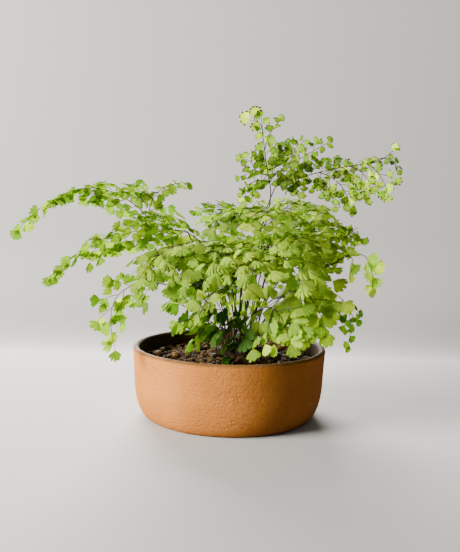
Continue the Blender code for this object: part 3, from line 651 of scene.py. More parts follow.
def clay_material(bowl):
    """Unglazed clay: cloudy and sandy outside; inside, stained by damp soil and painted dark as the
    shade in the hollow of the bowl.
    """
    made, tree, shader, where = start_material("terracotta")
    cloud = mottle(tree, where, 26.0, 800.0, 1.7)
    outside = blend(tree, cloud, shade(bowl.clay, 0.80), shade(bowl.clay, (1.10, 1.16, 1.3)))
    # Faint level lines left by the potter's fingers
    squashed = add(tree, "ShaderNodeMapping", {"Vector": where, "Scale": (1.0, 1.0, 4.0)})
    lines = noise_value(tree, squashed.outputs[0], 220.0, 4.0, 0.65)
    level = spread(tree, lines, 0.3, 0.7)
    outside = blend(tree, spread(tree, level, 0.0, 1.0, 0.35, 0.0), outside,
                    shade(bowl.clay, 0.72))
    # The rim is stained brown, and the inside is painted dark: partly damp stain, partly painted shade
    z = add(tree, "ShaderNodeSeparateXYZ", {"Vector": where}).outputs["Z"]
    high = spread(tree, z, BOWL_HEIGHT - 2.6 * MM, BOWL_HEIGHT - 1.2 * MM)
    stain = mottle(tree, where, 60.0, 900.0, 0.5)
    rim = calc(tree, "MULTIPLY", high, spread(tree, stain, 0.0, 1.0, 0.7, 0.95))
    colour = blend(tree, rim, outside, (0.115, 0.062, 0.022))
    # Painted shade: the inside gets a near black colour, for damp soil and for the shade in the bowl
    damp_and_painted_shade = blend(tree, stain, (0.04, 0.022, 0.008), (0.078, 0.042, 0.015))
    colour = blend(tree, stored(tree, "tone"), colour, damp_and_painted_shade)
    height = calc(tree, "ADD", grit(tree, where, 740.0, 0.5),
                  calc(tree, "MULTIPLY", level, 0.6))
    feed(tree, shader, Base_Color=colour, Normal=bump(tree, height, 0.5 * MM, 0.9),
         Roughness=spread(tree, cloud, 0.0, 1.0, 0.85, 0.65), Specular_IOR_Level=0.08)
    return made


def granule_material(mix):
    """Rough baked clay, a little different in tone from granule to granule."""
    made, tree, shader, where = start_material("granule_clay")
    cloud = mottle(tree, where, 260.0, 1800.0, 0.8)
    level = calc(tree, "ADD", calc(tree, "MULTIPLY", stored(tree, "tone"), 0.75),
                 calc(tree, "MULTIPLY", cloud, 0.3))
    colour = ramp(tree, level, (0.05, shade(mix.granule_colour, 0.12)),
                  (0.68, shade(mix.granule_colour, 0.68)),
                  (0.95, shade(mix.granule_colour, (2.3, 1.9, 1.6))))
    feed(tree, shader, Base_Color=colour,
         Normal=bump(tree, grit(tree, where, 900.0, 0.9), 0.35 * MM, 0.8),
         Roughness=spread(tree, cloud, 0.0, 1.0, 0.95, 0.7), Specular_IOR_Level=0.15)
    return made


def crumb_material(mix):
    """Moist dark crumb between the granules."""
    made, tree, shader, where = start_material("planting_mix")
    cloud = mottle(tree, where, 180.0, 1400.0, 1.2)
    colour = blend(tree, cloud, shade(mix.mix_colour, 0.5), shade(mix.mix_colour, 1.7))
    feed(tree, shader, Base_Color=colour,
         Normal=bump(tree, grit(tree, where, 700.0, 1.0), 0.8 * MM),
         Roughness=spread(tree, cloud, 0.0, 1.0, 0.95, 0.75), Specular_IOR_Level=0.15)
    return made


def rhizome_material():
    """Nearly black, scaly wood with brown hairs."""
    made, tree, shader, where = start_material("rhizome")
    cloud = mottle(tree, where, 220.0, 1500.0, 1.0)
    level = calc(tree, "MULTIPLY", calc(tree, "ADD", stored(tree, "tone"), cloud), 0.5)
    feed(tree, shader,
         Base_Color=blend(tree, level, (0.008, 0.005, 0.003), (0.045, 0.022, 0.011)),
         Normal=bump(tree, grit(tree, where, 800.0, 0.8), 0.5 * MM),
         Roughness=spread(tree, cloud, 0.0, 1.0, 0.95, 0.8), Specular_IOR_Level=0.12)
    return made


def net_material():
    """Moulded black plastic net with a dusting of silt."""
    made, tree, shader, where = start_material("net_plastic")
    dust = mottle(tree, where, 120.0, 1500.0, 0.6)
    colour = blend(tree, spread(tree, dust, 0.45, 1.0, 0.0, 0.7), (0.014, 0.014, 0.015),
                   (0.085, 0.05, 0.03))
    feed(tree, shader, Base_Color=colour,
         Normal=bump(tree, grit(tree, where, 1500.0, 0.1), 0.05 * MM, 0.5),
         Roughness=spread(tree, dust, 0.0, 1.0, 0.4, 0.8))
    return made


def leaf_material(plant):
    """Thin soft leaflet: tone by age and by painted light and shade, fan of veins, and light that
    comes through.
    """
    made, tree, shader, where = start_material("fern_leaf")
    across, out, own = add(tree, "ShaderNodeSeparateXYZ", {
        "Vector": stored(tree, "fan", "Vector")}).outputs
    cloud = mottle(tree, where, 150.0, 1300.0, 0.5)
    # Veins run out from the leaflet's stalk and grow in number towards its edge
    few = calc(tree, "COSINE", calc(tree, "MULTIPLY", across, 19.0))
    many = calc(tree, "COSINE", calc(tree, "MULTIPLY", across, 38.0))
    outer = spread(tree, out, 0.45, 0.7)
    vein = add(tree, "ShaderNodeMix", {2: few, 3: many, 0: outer}).outputs[0]
    rib = spread(tree, vein, 0.55, 1.0)
    patches = calc(tree, "MULTIPLY", calc(tree, "SUBTRACT", cloud, 0.5), 0.16)
    # Tone: the leaflet's age, and painted light and shade set blade by blade
    level = calc(tree, "ADD", stored(tree, "tone"), patches)
    # Painted shade: each leaflet is a little paler at its base and darker at its margin, as shade
    # between the leaflets
    level = calc(tree, "ADD", level, spread(tree, out, 0.0, 1.0, 0.06, -0.03))
    colour = ramp(tree, level, (0.0, plant.old_leaf), (0.5, plant.leaf), (1.0, plant.new_leaf))
    colour = blend(tree, calc(tree, "MULTIPLY", rib, 0.45), colour, (0.72, 0.84, 0.30),
                   "MULTIPLY")
    # Some leaflets are a little yellower, others a cooler green
    hue = blend(tree, own, (0.84, 0.97, 0.9), (1.05, 1.02, 0.85))
    colour = blend(tree, 1.0, colour, hue, "MULTIPLY")
    height = calc(tree, "ADD", rib, calc(tree, "MULTIPLY", cloud, 0.5))
    normal = bump(tree, height, 0.12 * MM, 0.5)
    feed(tree, shader, Base_Color=colour, Normal=normal,
         Roughness=spread(tree, cloud, 0.0, 1.0, 0.55, 0.42), Specular_IOR_Level=0.14)
    glow = add(tree, "ShaderNodeBsdfTranslucent", {
        "Color": blend(tree, 1.0, colour, (1.8, 1.72, 2.2), "MULTIPLY"), "Normal": normal})
    mix_in(tree, plant.see_through, glow, shader)
    return made


def stalk_material(plant):
    """Wiry glossy stalk, nearly black, redder where it is thin."""
    made, tree, shader, where = start_material("fern_stalk")
    cloud = mottle(tree, where, 120.0, 900.0, 0.4)
    colour = blend(tree, stored(tree, "tone"), plant.stalk, (0.055, 0.022, 0.013))
    colour = blend(tree, spread(tree, cloud, 0.4, 1.0, 0.0, 0.35), colour,
                   (0.05, 0.02, 0.012))
    feed(tree, shader, Base_Color=colour, Specular_IOR_Level=0.3,
         Roughness=spread(tree, cloud, 0.0, 1.0, 0.4, 0.55))
    return made


def sorus_material(plant):
    """Brown rolled margin with the spore cases under it."""
    made, tree, shader, where = start_material("fern_sorus")
    cloud = mottle(tree, where, 900.0, 4000.0, 1.0)
    feed(tree, shader, Roughness=spread(tree, cloud, 0.0, 1.0, 0.7, 0.9),
         Base_Color=blend(tree, cloud, shade(plant.sorus, 0.6), shade(plant.sorus, 1.6)))
    return made


def floor_material(stage):
    """Plain pale matt surface that casts no shadow and lets the view through from behind."""
    made, tree, shader, where = start_material("stage_floor")
    cloud = mottle(tree, where, 3.0, 160.0, 0.3)
    path = add(tree, "ShaderNodeLightPath")
    colour = blend(tree, path.outputs["Is Camera Ray"], stage.bounce,
                   blend(tree, cloud, shade(stage.floor, 0.98), stage.floor))
    feed(tree, shader, Base_Color=colour,
         Roughness=spread(tree, cloud, 0.0, 1.0, 0.85, 0.8))
    unseen = calc(tree, "MAXIMUM", add(tree, "ShaderNodeNewGeometry").outputs["Backfacing"],
                  path.outputs["Is Shadow Ray"])
    mix_in(tree, unseen, add(tree, "ShaderNodeBsdfTransparent"), shader)
    return made


# Bowl and net

def bowl_profile(ring_depth):
    """Half section of the bowl: inside from the axis to the rim, then outside to the foot."""
    reach = SHOULDER_RADIUS - FOOT_RADIUS
    half = WALL / 2
    rim_low = BOWL_HEIGHT - half

    def wall(height):
        """Outer radius at a height above the shoulder."""
        part = (height - SHOULDER_HEIGHT) / (rim_low - SHOULDER_HEIGHT)
        return SHOULDER_RADIUS + (RIM_RADIUS - SHOULDER_RADIUS) * part

    def ring(series, spot):
        """How far the throwing rings stand out."""
        return ring_depth * (noise.noise((series, 0.0, spot)) - 0.5)

    profile = [(0, FLOOR), (FOOT_RADIUS - 3 * WALL, FLOOR)]
    profile += arc((FOOT_RADIUS - WALL, SHOULDER_HEIGHT), (reach, SHOULDER_HEIGHT - FLOOR),
                   -90, 0, 12)
    profile += [(wall(height) - WALL, height)
                for height in np.arange(SHOULDER_HEIGHT + 2 * MM, rim_low - MM, 2 * MM)]
    lip = arc((RIM_RADIUS - half, 0), (half, half), 180, 0, 16)
    profile += [(radius, rim_low + up * (RIM_FLAT if 2 < step < 14 else 1))
                for step, (radius, up) in enumerate(lip)]
    profile += [(wall(height) + ring(0.0, height * 620), height)
                for height in np.arange(rim_low - 0.7 * MM, SHOULDER_HEIGHT, -0.7 * MM)]
    for aside, up in arc((0, 0), (1, 1), 0, -90, 21):
        profile.append((FOOT_RADIUS + (reach + ring(3.0, -up * 14)) * aside,
                        SHOULDER_HEIGHT * (1 + up)))
    return profile + [(FOOT_RADIUS - 0.6 * MM, 0), (FOOT_RADIUS - 3 * WALL, 0), (0, 0)]


def hand_turned(points, wobble):
    """Move the points of a turned solid a little off round, as on a hand-made bowl."""
    for point in points[1:-1]:
        radius = math.hypot(point[0], point[1])
        x, y = point[:2] / radius
        swell = noise.noise((x * 1.3, y * 1.3, point[2] * 18))
        point[:2] += np.array((x, y)) * swell * wobble * min(1.0, radius / FOOT_RADIUS)


def add_bowl(bowl):
    sides = 192
    profile = bowl_profile(bowl.ring_depth)
    points, faces = lathe(profile, sides)
    hand_turned(points, bowl.wobble)
    top = max(range(len(profile)), key=lambda k: profile[k][1])
    inside = np.repeat(np.arange(1, len(profile) - 1) < top - 1, sides)
    piece = Piece()
    # The tone marks the inside, which the clay material paints dark with damp stain and painted shade
    piece.add(points, faces, tone=np.concatenate([[1.0], inside, [0.0]]))
    thing = piece.build("terracotta_bowl", [clay_material(bowl)], 40)
    drilled(thing, DRAIN_RADIUS, [(-DRAIN_OFFSET, 0), (DRAIN_OFFSET, 0)])
    place(thing, "pot")


def add_net():
    """Round plastic net with a bead round its edge."""
    low, high = NET_LOW.z, NET_HIGH.z
    radius = (NET_HIGH.x - NET_LOW.x) / 2
    bead = (high - low) / 2
    flat = radius - 2.5 * bead
    top = high - 0.2 * MM
    profile = [(0, low), (radius * 0.5, low), (flat, low)]
    profile += arc((radius - bead, low + bead), (bead, bead), -90, 110, 8)
    profile += [(flat, top), (radius * 0.5, top), (0, top)]
    piece = Piece()
    piece.add(*lathe(profile, 96))
    thing = piece.build("net_over_drain_holes", [net_material()], 40)
    holes = [(0, 0)]
    for ring in range(1, NET_HOLE_RINGS + 1):
        away = NET_RING_STEP * ring
        holes += [(away * math.cos(t), away * math.sin(t))
                  for t in np.arange(6 * ring) * 2 * math.pi / (6 * ring)]
    drilled(thing, NET_HOLE_RADIUS, holes)
    place(thing, "drainage_net")


# Mix, granules and rhizome

def mix_height(x, y):
    """Surface of the mix: a low mound under the crown."""
    away = math.hypot(x - CROWN[0], y - CROWN[1]) / MIX_MOUND_WIDTH
    return MIX_EDGE_HEIGHT + (MIX_CROWN_HEIGHT - MIX_EDGE_HEIGHT) * math.exp(-away * away)


def pebble(points, radii, rng):
    """Unit ball broken to a blunt-edged stone with the given half sizes."""
    facets = rng.normal(size=(FACETS, 3))
    facets /= np.linalg.norm(facets, axis=1)[:, None]
    depths = rng.uniform(0.62, 0.95, FACETS)
    reach = depths / np.maximum(points @ facets.T, 1e-3)
    size = np.minimum(1.0, reach.min(axis=1))
    size = 0.8 * size + 0.2 * np.sqrt(size)
    seed = Vector(rng.uniform(0, 50, 3))
    rough = np.array([noise.fractal(Vector(p) * 2.2 + seed, 0.8, 2.1, 3) for p in points])
    grown = points * (size * (1 + 0.09 * rough))[:, None]
    high, low = grown.max(axis=0), grown.min(axis=0)
    turn = rng.uniform(0, 2 * math.pi)
    grown = (grown - (high + low) / 2) / ((high - low) / 2) * radii
    spin = np.array([[math.cos(turn), -math.sin(turn), 0],
                     [math.sin(turn), math.cos(turn), 0], [0, 0, 1]])
    return grown @ spin.T


def add_mix(mix):
    """Crumbly mound that fills the bowl, bedded with granules."""
    rng = np.random.default_rng(21)
    sides, rings = 160, 46
    low = NET_HIGH.z + GAP
    wall = arc((FOOT_RADIUS - WALL - 1.2 * GAP, SHOULDER_HEIGHT + 1.2 * GAP),
               (SHOULDER_RADIUS - FOOT_RADIUS, SHOULDER_HEIGHT - FLOOR), 0, -70, 7)
    profile = [(0, mix_height(0, 0))]
    profile += [(MIX_RADIUS * (ring + 1) / rings, MIX_EDGE_HEIGHT) for ring in range(rings)]
    profile += [(radius, max(height, low)) for radius, height in wall]
    points, faces = lathe(profile + [(0, low)], sides)
    for index, point in enumerate(points[1:1 + rings * sides]):
        spot = Vector((point[0], point[1], 0))
        crumb = 0.55 * MM * noise.noise(spot * 420) + 0.5 * MM * noise.noise(spot * 160)
        at_edge = index >= (rings - 1) * sides
        point[2] = mix_height(point[0], point[1]) - 0.6 * MM + (0 if at_edge else crumb)
    piece = Piece()
    piece.add(points, faces)
    scatter_granules(piece, mix, rng)
    thing = piece.build("planting_mix", [crumb_material(mix), granule_material(mix)], 35)
    place(thing, "potting_mix")


def loose_granules():
    return sorted(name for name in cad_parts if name.startswith("granule_"))


def scatter_granules(piece, mix, rng):
    """Bed granules over the mix, clear of the rhizome, the wall and the loose ones."""
    taken = []
    for name in loose_granules():
        middle, radii = box_of(name)
        taken.append((middle[0], middle[1], 0.8 * radii[0]))
    fine, coarse = ball(3), ball(2)
    limit = MIX_RADIUS - 0.4 * MM
    for step in range(mix.granules):
        late = step / mix.granules
        radius = mix.smallest + (mix.largest - mix.smallest) * rng.random() ** 1.2 * (1 - late)
        away = (limit - radius) * math.sqrt(rng.random())
        turn = GOLDEN_ANGLE * step
        x, y = away * math.cos(turn), away * math.sin(turn)
        radii = radius * rng.uniform((0.85, 0.7, 0.55), (1.15, 1.0, 0.8))
        tone = float(np.clip(rng.normal(0.42, 0.2), 0.02, 1.0))
        crowded = any(math.hypot(x - a, y - b) < CROWDING * (radius + r) for a, b, r in taken)
        near = ((x, y) - CROWN[:2]) / (RHIZOME_RADII[:2] + radius * 0.6)
        if crowded or math.hypot(*near) < 1:
            continue
        taken.append((x, y, radius))
        points, faces = fine if radius > LARGE_GRANULE else coarse
        stone = pebble(points, radii, rng)
        height = mix_height(x, y) + radii[2] * rng.uniform(0.05, 0.75)
        piece.add(stone + (x, y, height), faces, slot=1, tone=tone)


def add_granules(mix):
    """Each loose granule of the frame as a rough stone of the same size."""
    rng = np.random.default_rng(22)
    points, faces = ball(4)
    finish = granule_material(mix)
    for name in loose_granules():
        middle, radii = box_of(name)
        stone = pebble(points, radii, rng)
        span = (stone.max(axis=0) - stone.min(axis=0)) / 2
        piece = Piece()
        piece.add(stone * (radii / span) + middle, faces, tone=float(rng.uniform(0.3, 0.9)))
        place(piece.build("loose_" + name, [finish], 35), name)


def add_rhizome():
    """Knotted scaly crown, with stubs of old stalks and a coat of short hairs."""
    rng = np.random.default_rng(23)
    piece = Piece()
    points, faces = ball(5)
    knots = np.array([noise.fractal(Vector(p) * 3.1, 0.9, 2.2, 4) for p in points])
    grown = points * (RHIZOME_RADII * 0.97 + (0.9 * MM * knots)[:, None])
    piece.add(grown + CROWN, faces, tone=np.clip(0.35 + 0.5 * knots, 0, 1))
    for step in range(HAIRS):
        turn = GOLDEN_ANGLE * step
        up = rng.uniform(0.05, 0.98)
        flat = math.sqrt(1 - up * up)
        spot = np.array((flat * math.cos(turn), flat * math.sin(turn), up))
        lean = unit(unit(spot / RHIZOME_RADII) + rng.normal(0, 0.45, 3))
        if step % STUB_EVERY == 0:
            lengths, radii, taper, sides = (3.0, 8.0), (0.5, 0.8), (1.0, 0.9, 0.75), 8
        else:
            lengths, radii, taper, sides = (1.0, 3.2), (0.08, 0.16), (1.0, 0.7, 0.2), 4
        length = rng.uniform(*lengths) * MM
        thick = rng.uniform(*radii) * MM
        foot = CROWN + spot * RHIZOME_RADII * 0.94
        bend = rng.normal(0, 0.12, 3) * length
        line = [foot, foot + lean * length * 0.5 + bend,
                foot + lean * length + bend * 2.5 - np.array((0, 0, 0.2)) * length]
        piece.add(*tube(line, [thick * part for part in taper], sides),
                  tone=float(rng.uniform(0.3, 1.0)))
    place(piece.build("fern_rhizome", [rhizome_material()], 60), "rhizome")


# Skeleton of a frond

def metres(point):
    return np.array(point, float) * MM


def feet():
    """Foot and outward normal on the rhizome for each frond, spread so that none crowd."""
    flat = []
    for frond in FRONDS:
        out = metres(frond.knee) - CROWN
        lean = math.hypot(out[0], out[1]) / np.linalg.norm(out)
        flat.append(unit(out[:2]) * FOOT_SPREAD * min(1, 0.2 + lean) * RHIZOME_RADII[:2])
    for _ in range(FOOT_ROUNDS):
        for i, one in enumerate(flat):
            for other in flat[i + 1:]:
                apart = other - one
                distance = np.linalg.norm(apart)
                if distance < FOOT_SPACING:
                    push = unit(apart) * (FOOT_SPACING - distance) / 2
                    one -= push
                    other += push
            reach = np.linalg.norm(one / RHIZOME_RADII[:2])
            if reach > FOOT_LIMIT:
                one *= FOOT_LIMIT / reach
    found = []
    for spot in flat:
        x, y = spot / RHIZOME_RADII[:2]
        on_ball = np.array((x, y, math.sqrt(1 - (x * x + y * y))))
        found.append((CROWN + on_ball * RHIZOME_RADII, unit(on_ball / RHIZOME_RADII)))
    return found


def curve(controls, count):
    """Bezier curve of any degree through its control points."""
    degree = len(controls) - 1
    t = np.linspace(0, 1, count)[:, None]
    return sum(math.comb(degree, k) * (1 - t) ** (degree - k) * t ** k * point
               for k, point in enumerate(controls))


def through(start, crest, tip, count=28):
    """Smooth arch from start to tip that passes the crest."""
    first = np.linalg.norm(crest - start)
    part = min(max(first / (first + np.linalg.norm(tip - crest)), 0.25), 0.75)
    pull = (crest - (1 - part) ** 2 * start - part ** 2 * tip) / (2 * (1 - part) * part)
    return curve((start, pull, tip), count)


def along(line, part):
    """Point of a line, or value of a list of vectors, at a part of its length."""
    spot = min(max(part, 0), 1) * (len(line) - 1)
    i = min(int(spot), len(line) - 2)
    return line[i] + (line[i + 1] - line[i]) * (spot - i)


def skeleton(frond, foot, normal, rng):
    """Line of a frond's stipe, which bows a little at random, and one for each blade."""
    knee = metres(frond.knee)
    lines = []
    heading = 0
    for blade in frond.blades:
        start = along(lines[blade.fork[0]], blade.fork[1]) if blade.fork else knee
        lines.append(through(start, metres(blade.crest), metres(blade.tip)))
        if not blade.fork:
            heading += unit(lines[-1][1] - lines[-1][0])
    length = np.linalg.norm(knee - foot)
    heading = unit(unit(heading) + unit(knee - foot) * 1.2)
    low = foot + (normal * 0.25 + (0, 0, 0.15) + rng.normal(0, STIPE_BOW, 3)) * length
    high = knee + (rng.normal(0, STIPE_BOW, 3) - heading * 0.3) * length
    return curve((foot - normal * MM, low, high, knee), 26), lines


# Leaflets

def fan_faces(steps):
    """Faces of a leaflet: two fans back to back, and the rim that joins them.

    Each fan has its base point, a row of points half way out and a row along its edge.
    """
    row = steps + 1
    side = 1 + 2 * row
    faces = []
    for a in range(1, row):
        b = side + a
        faces += [[0, a, a + 1], [side, b + 1, b],
                  [a, a + row, a + row + 1, a + 1], [b, b + 1, b + row + 1, b + row]]
    border = [0, 1, *range(1 + row, side), row]
    faces += [[a, side + a, side + b, b] for a, b in zip(border, border[1:] + [0])]
    return faces


FAN_FACES = {lobes: fan_faces(lobes * LOBE_STEPS) for lobes in range(*LOBES)}


class Leafage:
    """Sets the leaflets and side stalks of one frond into a piece."""

    LEAF, STALK, SORUS = range(3)

    def __init__(self, plant, frond, seed):
        self.plant = plant
        self.frond = frond
        self.rng = np.random.default_rng(seed)
        self.piece = Piece()
        self.bead = ball(1)
        self.loose = LOOSE_FERTILE if frond.fertile else LOOSE

    def stalk(self, line, thick, thin, sides, tone):
        radii = np.linspace(thick, thin, len(line))
        self.piece.add(*tube(line, radii, sides), slot=self.STALK, tone=tone)

    def leaflet(self, base, ahead, normal, size):
        """Lobed fan shaped leaflet, thin and a little cupped, that stands on its base."""
        rng = self.rng
        aside = np.cross(normal, ahead)
        half = math.radians(rng.uniform(*FAN_HALF))
        skew = math.radians(rng.normal(0, 7))
        lobes = int(rng.integers(*LOBES))
        steps = np.arange(lobes * LOBE_STEPS + 1)
        widths = rng.uniform(0.75, 1.25, lobes)
        notches = np.concatenate([[0], np.cumsum(widths)]) / widths.sum() * 2 - 1
        across = np.interp(steps / LOBE_STEPS, np.arange(lobes + 1), notches)
        lobe = np.sin(math.pi * (steps % LOBE_STEPS / LOBE_STEPS)) ** 0.4
        cut = self.frond.cut if self.blade.cut is None else self.blade.cut
        depth = cut * np.interp(across, notches, rng.uniform(*LOBE_SPREAD, lobes + 1))
        edge = size * (1 - 0.18 * across ** 2 - 0.12 * across ** 4)
        edge = edge * (1 - depth * (1 - lobe)) * (1 + rng.normal(0, 0.012, len(steps)))
        bend = rng.normal(-0.10, 0.10)
        fold = rng.normal(-0.12, 0.10)
        wave = rng.normal(0, 0.04)
        own = rng.random()
        points = [base]
        fans = [(0, 0, own)]
        turn = across * half + skew
        for ring in (INNER_RING, 1.0):
            x = edge * ring * np.cos(turn)
            y = edge * ring * np.sin(turn)
            z = size * ((bend + fold * across ** 2) * ring ** 2
                        + wave * np.sin(across * 5) * ring)
            points.extend(base + np.outer(x, ahead) + np.outer(y, aside)
                          + np.outer(z, normal))
            fans.extend((a, ring, own) for a in across)
        points = np.array(points)
        thick = normal * self.plant.leaf_thickness / 2
        tone = self.blade.tone + rng.normal(0, TONE_SPREAD)
        self.piece.add(np.concatenate([points + thick, points - thick]), FAN_FACES[lobes],
                       slot=self.LEAF, tone=tone, fan=np.array(fans + fans))
        if self.frond.fertile:
            margin = points[-len(steps):]
            for k in range(lobes):
                if rng.random() < SORUS_CHANCE:
                    self.sorus(margin[int((k + 0.5) * LOBE_STEPS)], base, size, normal)

    def sorus(self, spot, base, size, normal):
        """Brown spore case under the rolled end of a lobe."""
        inward = unit(base - spot)
        beside = np.cross(normal, inward)
        points, faces = self.bead
        laid = (points * SORUS_RADII * size) @ np.stack([inward, beside, normal])
        self.piece.add(laid + spot + inward * size * 0.06, faces, slot=self.SORUS)

    def on_stalklet(self, base, ahead, normal, size):
        """A leaflet on its own short hair-thin stalk, turned a little at random."""
        rng = self.rng
        normal = unit(normal + rng.normal(0, self.loose, 3))
        ahead = unit(ahead + rng.normal(0, 0.13, 3))
        ahead = unit(ahead - (0, 0, self.blade.hang))
        normal = unit(normal - ahead * (normal @ ahead))
        reach = size * rng.uniform(0.12, 0.30) * self.blade.gap
        end = base + ahead * reach
        bend = base + ahead * reach * 0.5 + rng.normal(0, 0.05 * MM, 3)
        self.stalk([base, bend, end + ahead * 0.3 * MM], *STALKLET, 4, 0.8)
        self.leaflet(end, ahead, normal, size)

    def pinna(self, base, ahead, normal, length, hand, level=1):
        """Side branch that carries leaflets, and on wide blades branches again."""
        rng = self.rng
        size = self.size
        if length < ONE_LEAFLET * size:
            self.on_stalklet(base, ahead, normal, size * rng.uniform(0.85, 1.1))
            return
        u = np.linspace(0, 1, 9)[:, None]
        line = base + ahead * length * u - np.array((0, 0, BRANCH_SAG)) * length * u * u
        self.stalk(line, STALKS[level], BRANCH_TIP, 5, 0.5 + 0.15 * level)
        aside = unit(np.cross(normal, ahead))
        x = 0.5 * size
        while x < length - 0.35 * size:
            part = x / length
            spot = along(line, part)
            heading = unit(ahead * math.cos(BRANCH_LEAN) + aside * hand * math.sin(BRANCH_LEAN))
            reach = 0.5 * length * (1 - part) ** 0.9
            if level < 2 and reach > BRANCHED * size:
                self.pinna(spot, heading, normal, reach, hand, level + 1)
            else:
                self.on_stalklet(spot, heading, normal,
                                 size * rng.uniform(0.8, 1.12) * (1 - 0.18 * part))
            x += size * LEAFLET_STEP * self.blade.gap * rng.uniform(0.85, 1.15)
            hand = -hand
        self.on_stalklet(line[-1], unit(line[-1] - line[-2]), normal,
                         size * rng.uniform(0.75, 0.95))

    def grow(self, blade, line):
        """One blade of the frond: its stalk with side branches left and right."""
        rng = self.rng
        self.blade = blade
        self.size = size = LEAFLET_LENGTH * blade.leaflet * MM
        self.stalk(line, STALKS[0], STALK_TIP, 6, 0.25)
        total = np.linalg.norm(np.diff(line, axis=0), axis=1).sum()
        ahead = np.gradient(line, axis=0)
        ahead /= np.linalg.norm(ahead, axis=1)[:, None]
        run = (line[-1] - line[0]) * (1, 1, 0.2)
        if math.hypot(run[0], run[1]) < STEEP_RUN:
            run = (line[0] - CROWN) * (1, 1, 0)
        roll = Quaternion(Vector(ahead[0]), math.radians(blade.roll))
        aside = np.array(roll @ Vector(unit(np.cross(run, (0, 0, 1)))))
        sides = []
        for tangent in ahead:
            aside = unit(aside - tangent * (aside @ tangent))
            sides.append(aside)
        x = blade.bare * total
        hand = 1
        while x < 0.985 * total:
            part = x / total
            tangent = unit(along(ahead, part))
            aside = unit(along(sides, part))
            normal = unit(np.cross(tangent, aside))
            if normal[2] < 0 and abs(blade.roll) < 60:
                normal = -normal
            reach = blade.reach * MM * (1 - part) ** 0.8 + size * 0.75
            lean = math.radians(62 - 20 * part)
            heading = unit(tangent * math.cos(lean) + aside * hand * math.sin(lean)
                           + rng.normal(0, 0.05, 3))
            self.pinna(along(line, part), heading, normal, reach * rng.uniform(0.88, 1.1), hand)
            x += (size * BRANCH_STEP + REACH_STEP * reach) * blade.gap * rng.uniform(0.9, 1.1)
            hand = -hand
        normal = unit(np.cross(ahead[-1], sides[-1]))
        self.on_stalklet(line[-1], ahead[-1], normal * (1 if normal[2] > 0 else -1), size * 0.9)


def add_fronds(plant):
    finishes = [leaf_material(plant), stalk_material(plant), sorus_material(plant)]
    for index, (frond, (foot, normal)) in enumerate(zip(FRONDS, feet())):
        leafage = Leafage(plant, frond, plant.seed + index)
        stipe, lines = skeleton(frond, foot, normal, leafage.rng)
        leafage.stalk(stipe, plant.stipe_radius, STALKS[0], 8, 0.1)
        for blade, line in zip(frond.blades, lines):
            leafage.grow(blade, line)
        thing = leafage.piece.build("leafy_" + frond.name, finishes)
        place(thing, "frond_" + frond.name)


# Stage

def add_stage(stage):
    """Pale floor that sweeps up behind, one large key light, soft fill and the camera."""
    front, back, wide, high, bend = -1.1, 0.34, 1.4, 1.4, 0.12
    section = [(front, 0.0), *arc((back - bend, bend), (bend, bend), -90, 0, 16), (back, high)]
    points = [(side * wide, y, z) for y, z in section for side in (-1, 1)]
    faces = [[2 * k, 2 * k + 1, 2 * k + 3, 2 * k + 2] for k in range(len(section) - 1)]
    piece = Piece()
    piece.add(points, faces)
    piece.build("pale_sweep", [floor_material(stage)], 60)
    power = stage.key_power
    area_light("key_light", (-1.41, -0.69, 0.62), 0.9, power, (1.0, 0.965, 0.91))
    area_light("fill_light", (0.6, -1.2, 1.1), 1.4, power * 0.012, (0.93, 0.96, 1.0))
    area_light("back_light", (-0.30, 1.25, 0.45), 1.0, power * 0.9, (1.0, 0.98, 0.95))
    world = bpy.data.worlds.new("soft_room")
    world.use_nodes = True
    tree = world.node_tree
    seen = add(tree, "ShaderNodeLightPath").outputs["Is Camera Ray"]
    feed(tree, tree.nodes["Background"], Color=(0.93, 0.95, 1.0, 1),
         Strength=spread(tree, seen, 0.0, 1.0, 0.075, 0.75))
    bpy.context.scene.world = world
    lens = bpy.data.cameras.new("camera")
    lens.lens = 50
    lens.sensor_width = 36
    camera = in_scene("camera", lens)
    camera.location = (stage.camera_aside, -stage.camera_distance, stage.camera_height)
    level = Quaternion((1, 0, 0), math.radians(90) - stage.camera_pitch)
    camera.rotation_euler = (level @ Quaternion((0, 0, 1), stage.camera_roll)).to_euler()
    bpy.context.scene.camera = camera


def area_light(name, spot, size, power, colour):
    """Round light that looks at the middle of the plant."""
    data = bpy.data.lights.new(name, "AREA")
    data.shape = "DISK"
    data.size = size
    data.energy = power
    data.color = colour
    lamp = in_scene(name, data)
    lamp.location = spot
    aim = Vector((0, 0, 0.11)) - Vector(spot)
    lamp.rotation_euler = aim.to_track_quat("-Z", "Y").to_euler()


# Operators and panel

class FERN_OT_add_bowl(bpy.types.Operator):
    """Add the terracotta bowl"""
    bl_idname = "fern.add_bowl"
    bl_label = "Bowl"

    def execute(self, context):
        add_bowl(context.scene.fern_bowl)
        return {"FINISHED"}


class FERN_OT_add_net(bpy.types.Operator):
    """Add the net over the drain holes"""
    bl_idname = "fern.add_net"
    bl_label = "Drainage Net"

    def execute(self, context):
        add_net()
        return {"FINISHED"}


class FERN_OT_add_mix(bpy.types.Operator):
    """Add the planting mix with its bedded granules"""
    bl_idname = "fern.add_mix"
    bl_label = "Planting Mix"

    def execute(self, context):
        add_mix(context.scene.fern_mix)
        return {"FINISHED"}


class FERN_OT_add_granules(bpy.types.Operator):
    """Add the loose granules that lie on the mix"""
    bl_idname = "fern.add_granules"
    bl_label = "Loose Granules"

    def execute(self, context):
        add_granules(context.scene.fern_mix)
        return {"FINISHED"}


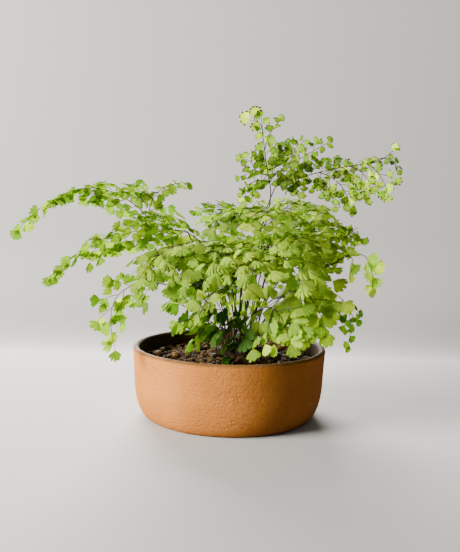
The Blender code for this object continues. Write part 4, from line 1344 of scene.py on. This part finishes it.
class FERN_OT_add_rhizome(bpy.types.Operator):
    """Add the rhizome that the fronds stand on"""
    bl_idname = "fern.add_rhizome"
    bl_label = "Rhizome"

    def execute(self, context):
        add_rhizome()
        return {"FINISHED"}


class FERN_OT_add_fronds(bpy.types.Operator):
    """Add all the fronds"""
    bl_idname = "fern.add_fronds"
    bl_label = "Fronds"

    def execute(self, context):
        add_fronds(context.scene.fern_plant)
        return {"FINISHED"}


class FERN_OT_add_stage(bpy.types.Operator):
    """Add the floor, backdrop, lights and camera"""
    bl_idname = "fern.add_stage"
    bl_label = "Stage"

    def execute(self, context):
        add_stage(context.scene.fern_stage)
        return {"FINISHED"}


class FERN_PT_pieces(bpy.types.Panel):
    """Buttons for the pieces and the stage, with their settings"""
    bl_label = "Potted Maidenhair Fern"
    bl_idname = "FERN_PT_pieces"
    bl_space_type = "VIEW_3D"
    bl_region_type = "UI"
    bl_category = "Fern"

    def draw(self, context):
        for operator in OPERATORS:
            self.layout.operator(operator.bl_idname)
        for label in SETTINGS:
            group = getattr(context.scene, label)
            box = self.layout.box()
            for key in group.__annotations__:
                box.prop(group, key)


SETTINGS = {
    "fern_bowl": FernBowlSettings,
    "fern_mix": FernMixSettings,
    "fern_plant": FernPlantSettings,
    "fern_stage": FernStageSettings,
}
OPERATORS = (FERN_OT_add_bowl, FERN_OT_add_net, FERN_OT_add_mix, FERN_OT_add_granules,
             FERN_OT_add_rhizome, FERN_OT_add_fronds, FERN_OT_add_stage)


def register():
    for made in (*SETTINGS.values(), *OPERATORS, FERN_PT_pieces):
        bpy.utils.register_class(made)
    for label, group in SETTINGS.items():
        setattr(bpy.types.Scene, label, PointerProperty(type=group))


def unregister():
    for label in SETTINGS:
        delattr(bpy.types.Scene, label)
    for made in reversed((*SETTINGS.values(), *OPERATORS, FERN_PT_pieces)):
        bpy.utils.unregister_class(made)


def main():
    register()
    bpy.ops.fern.add_bowl()
    bpy.ops.fern.add_net()
    bpy.ops.fern.add_mix()
    bpy.ops.fern.add_granules()
    bpy.ops.fern.add_rhizome()
    bpy.ops.fern.add_fronds()
    bpy.ops.fern.add_stage()


if __name__ == "__main__":
    main()
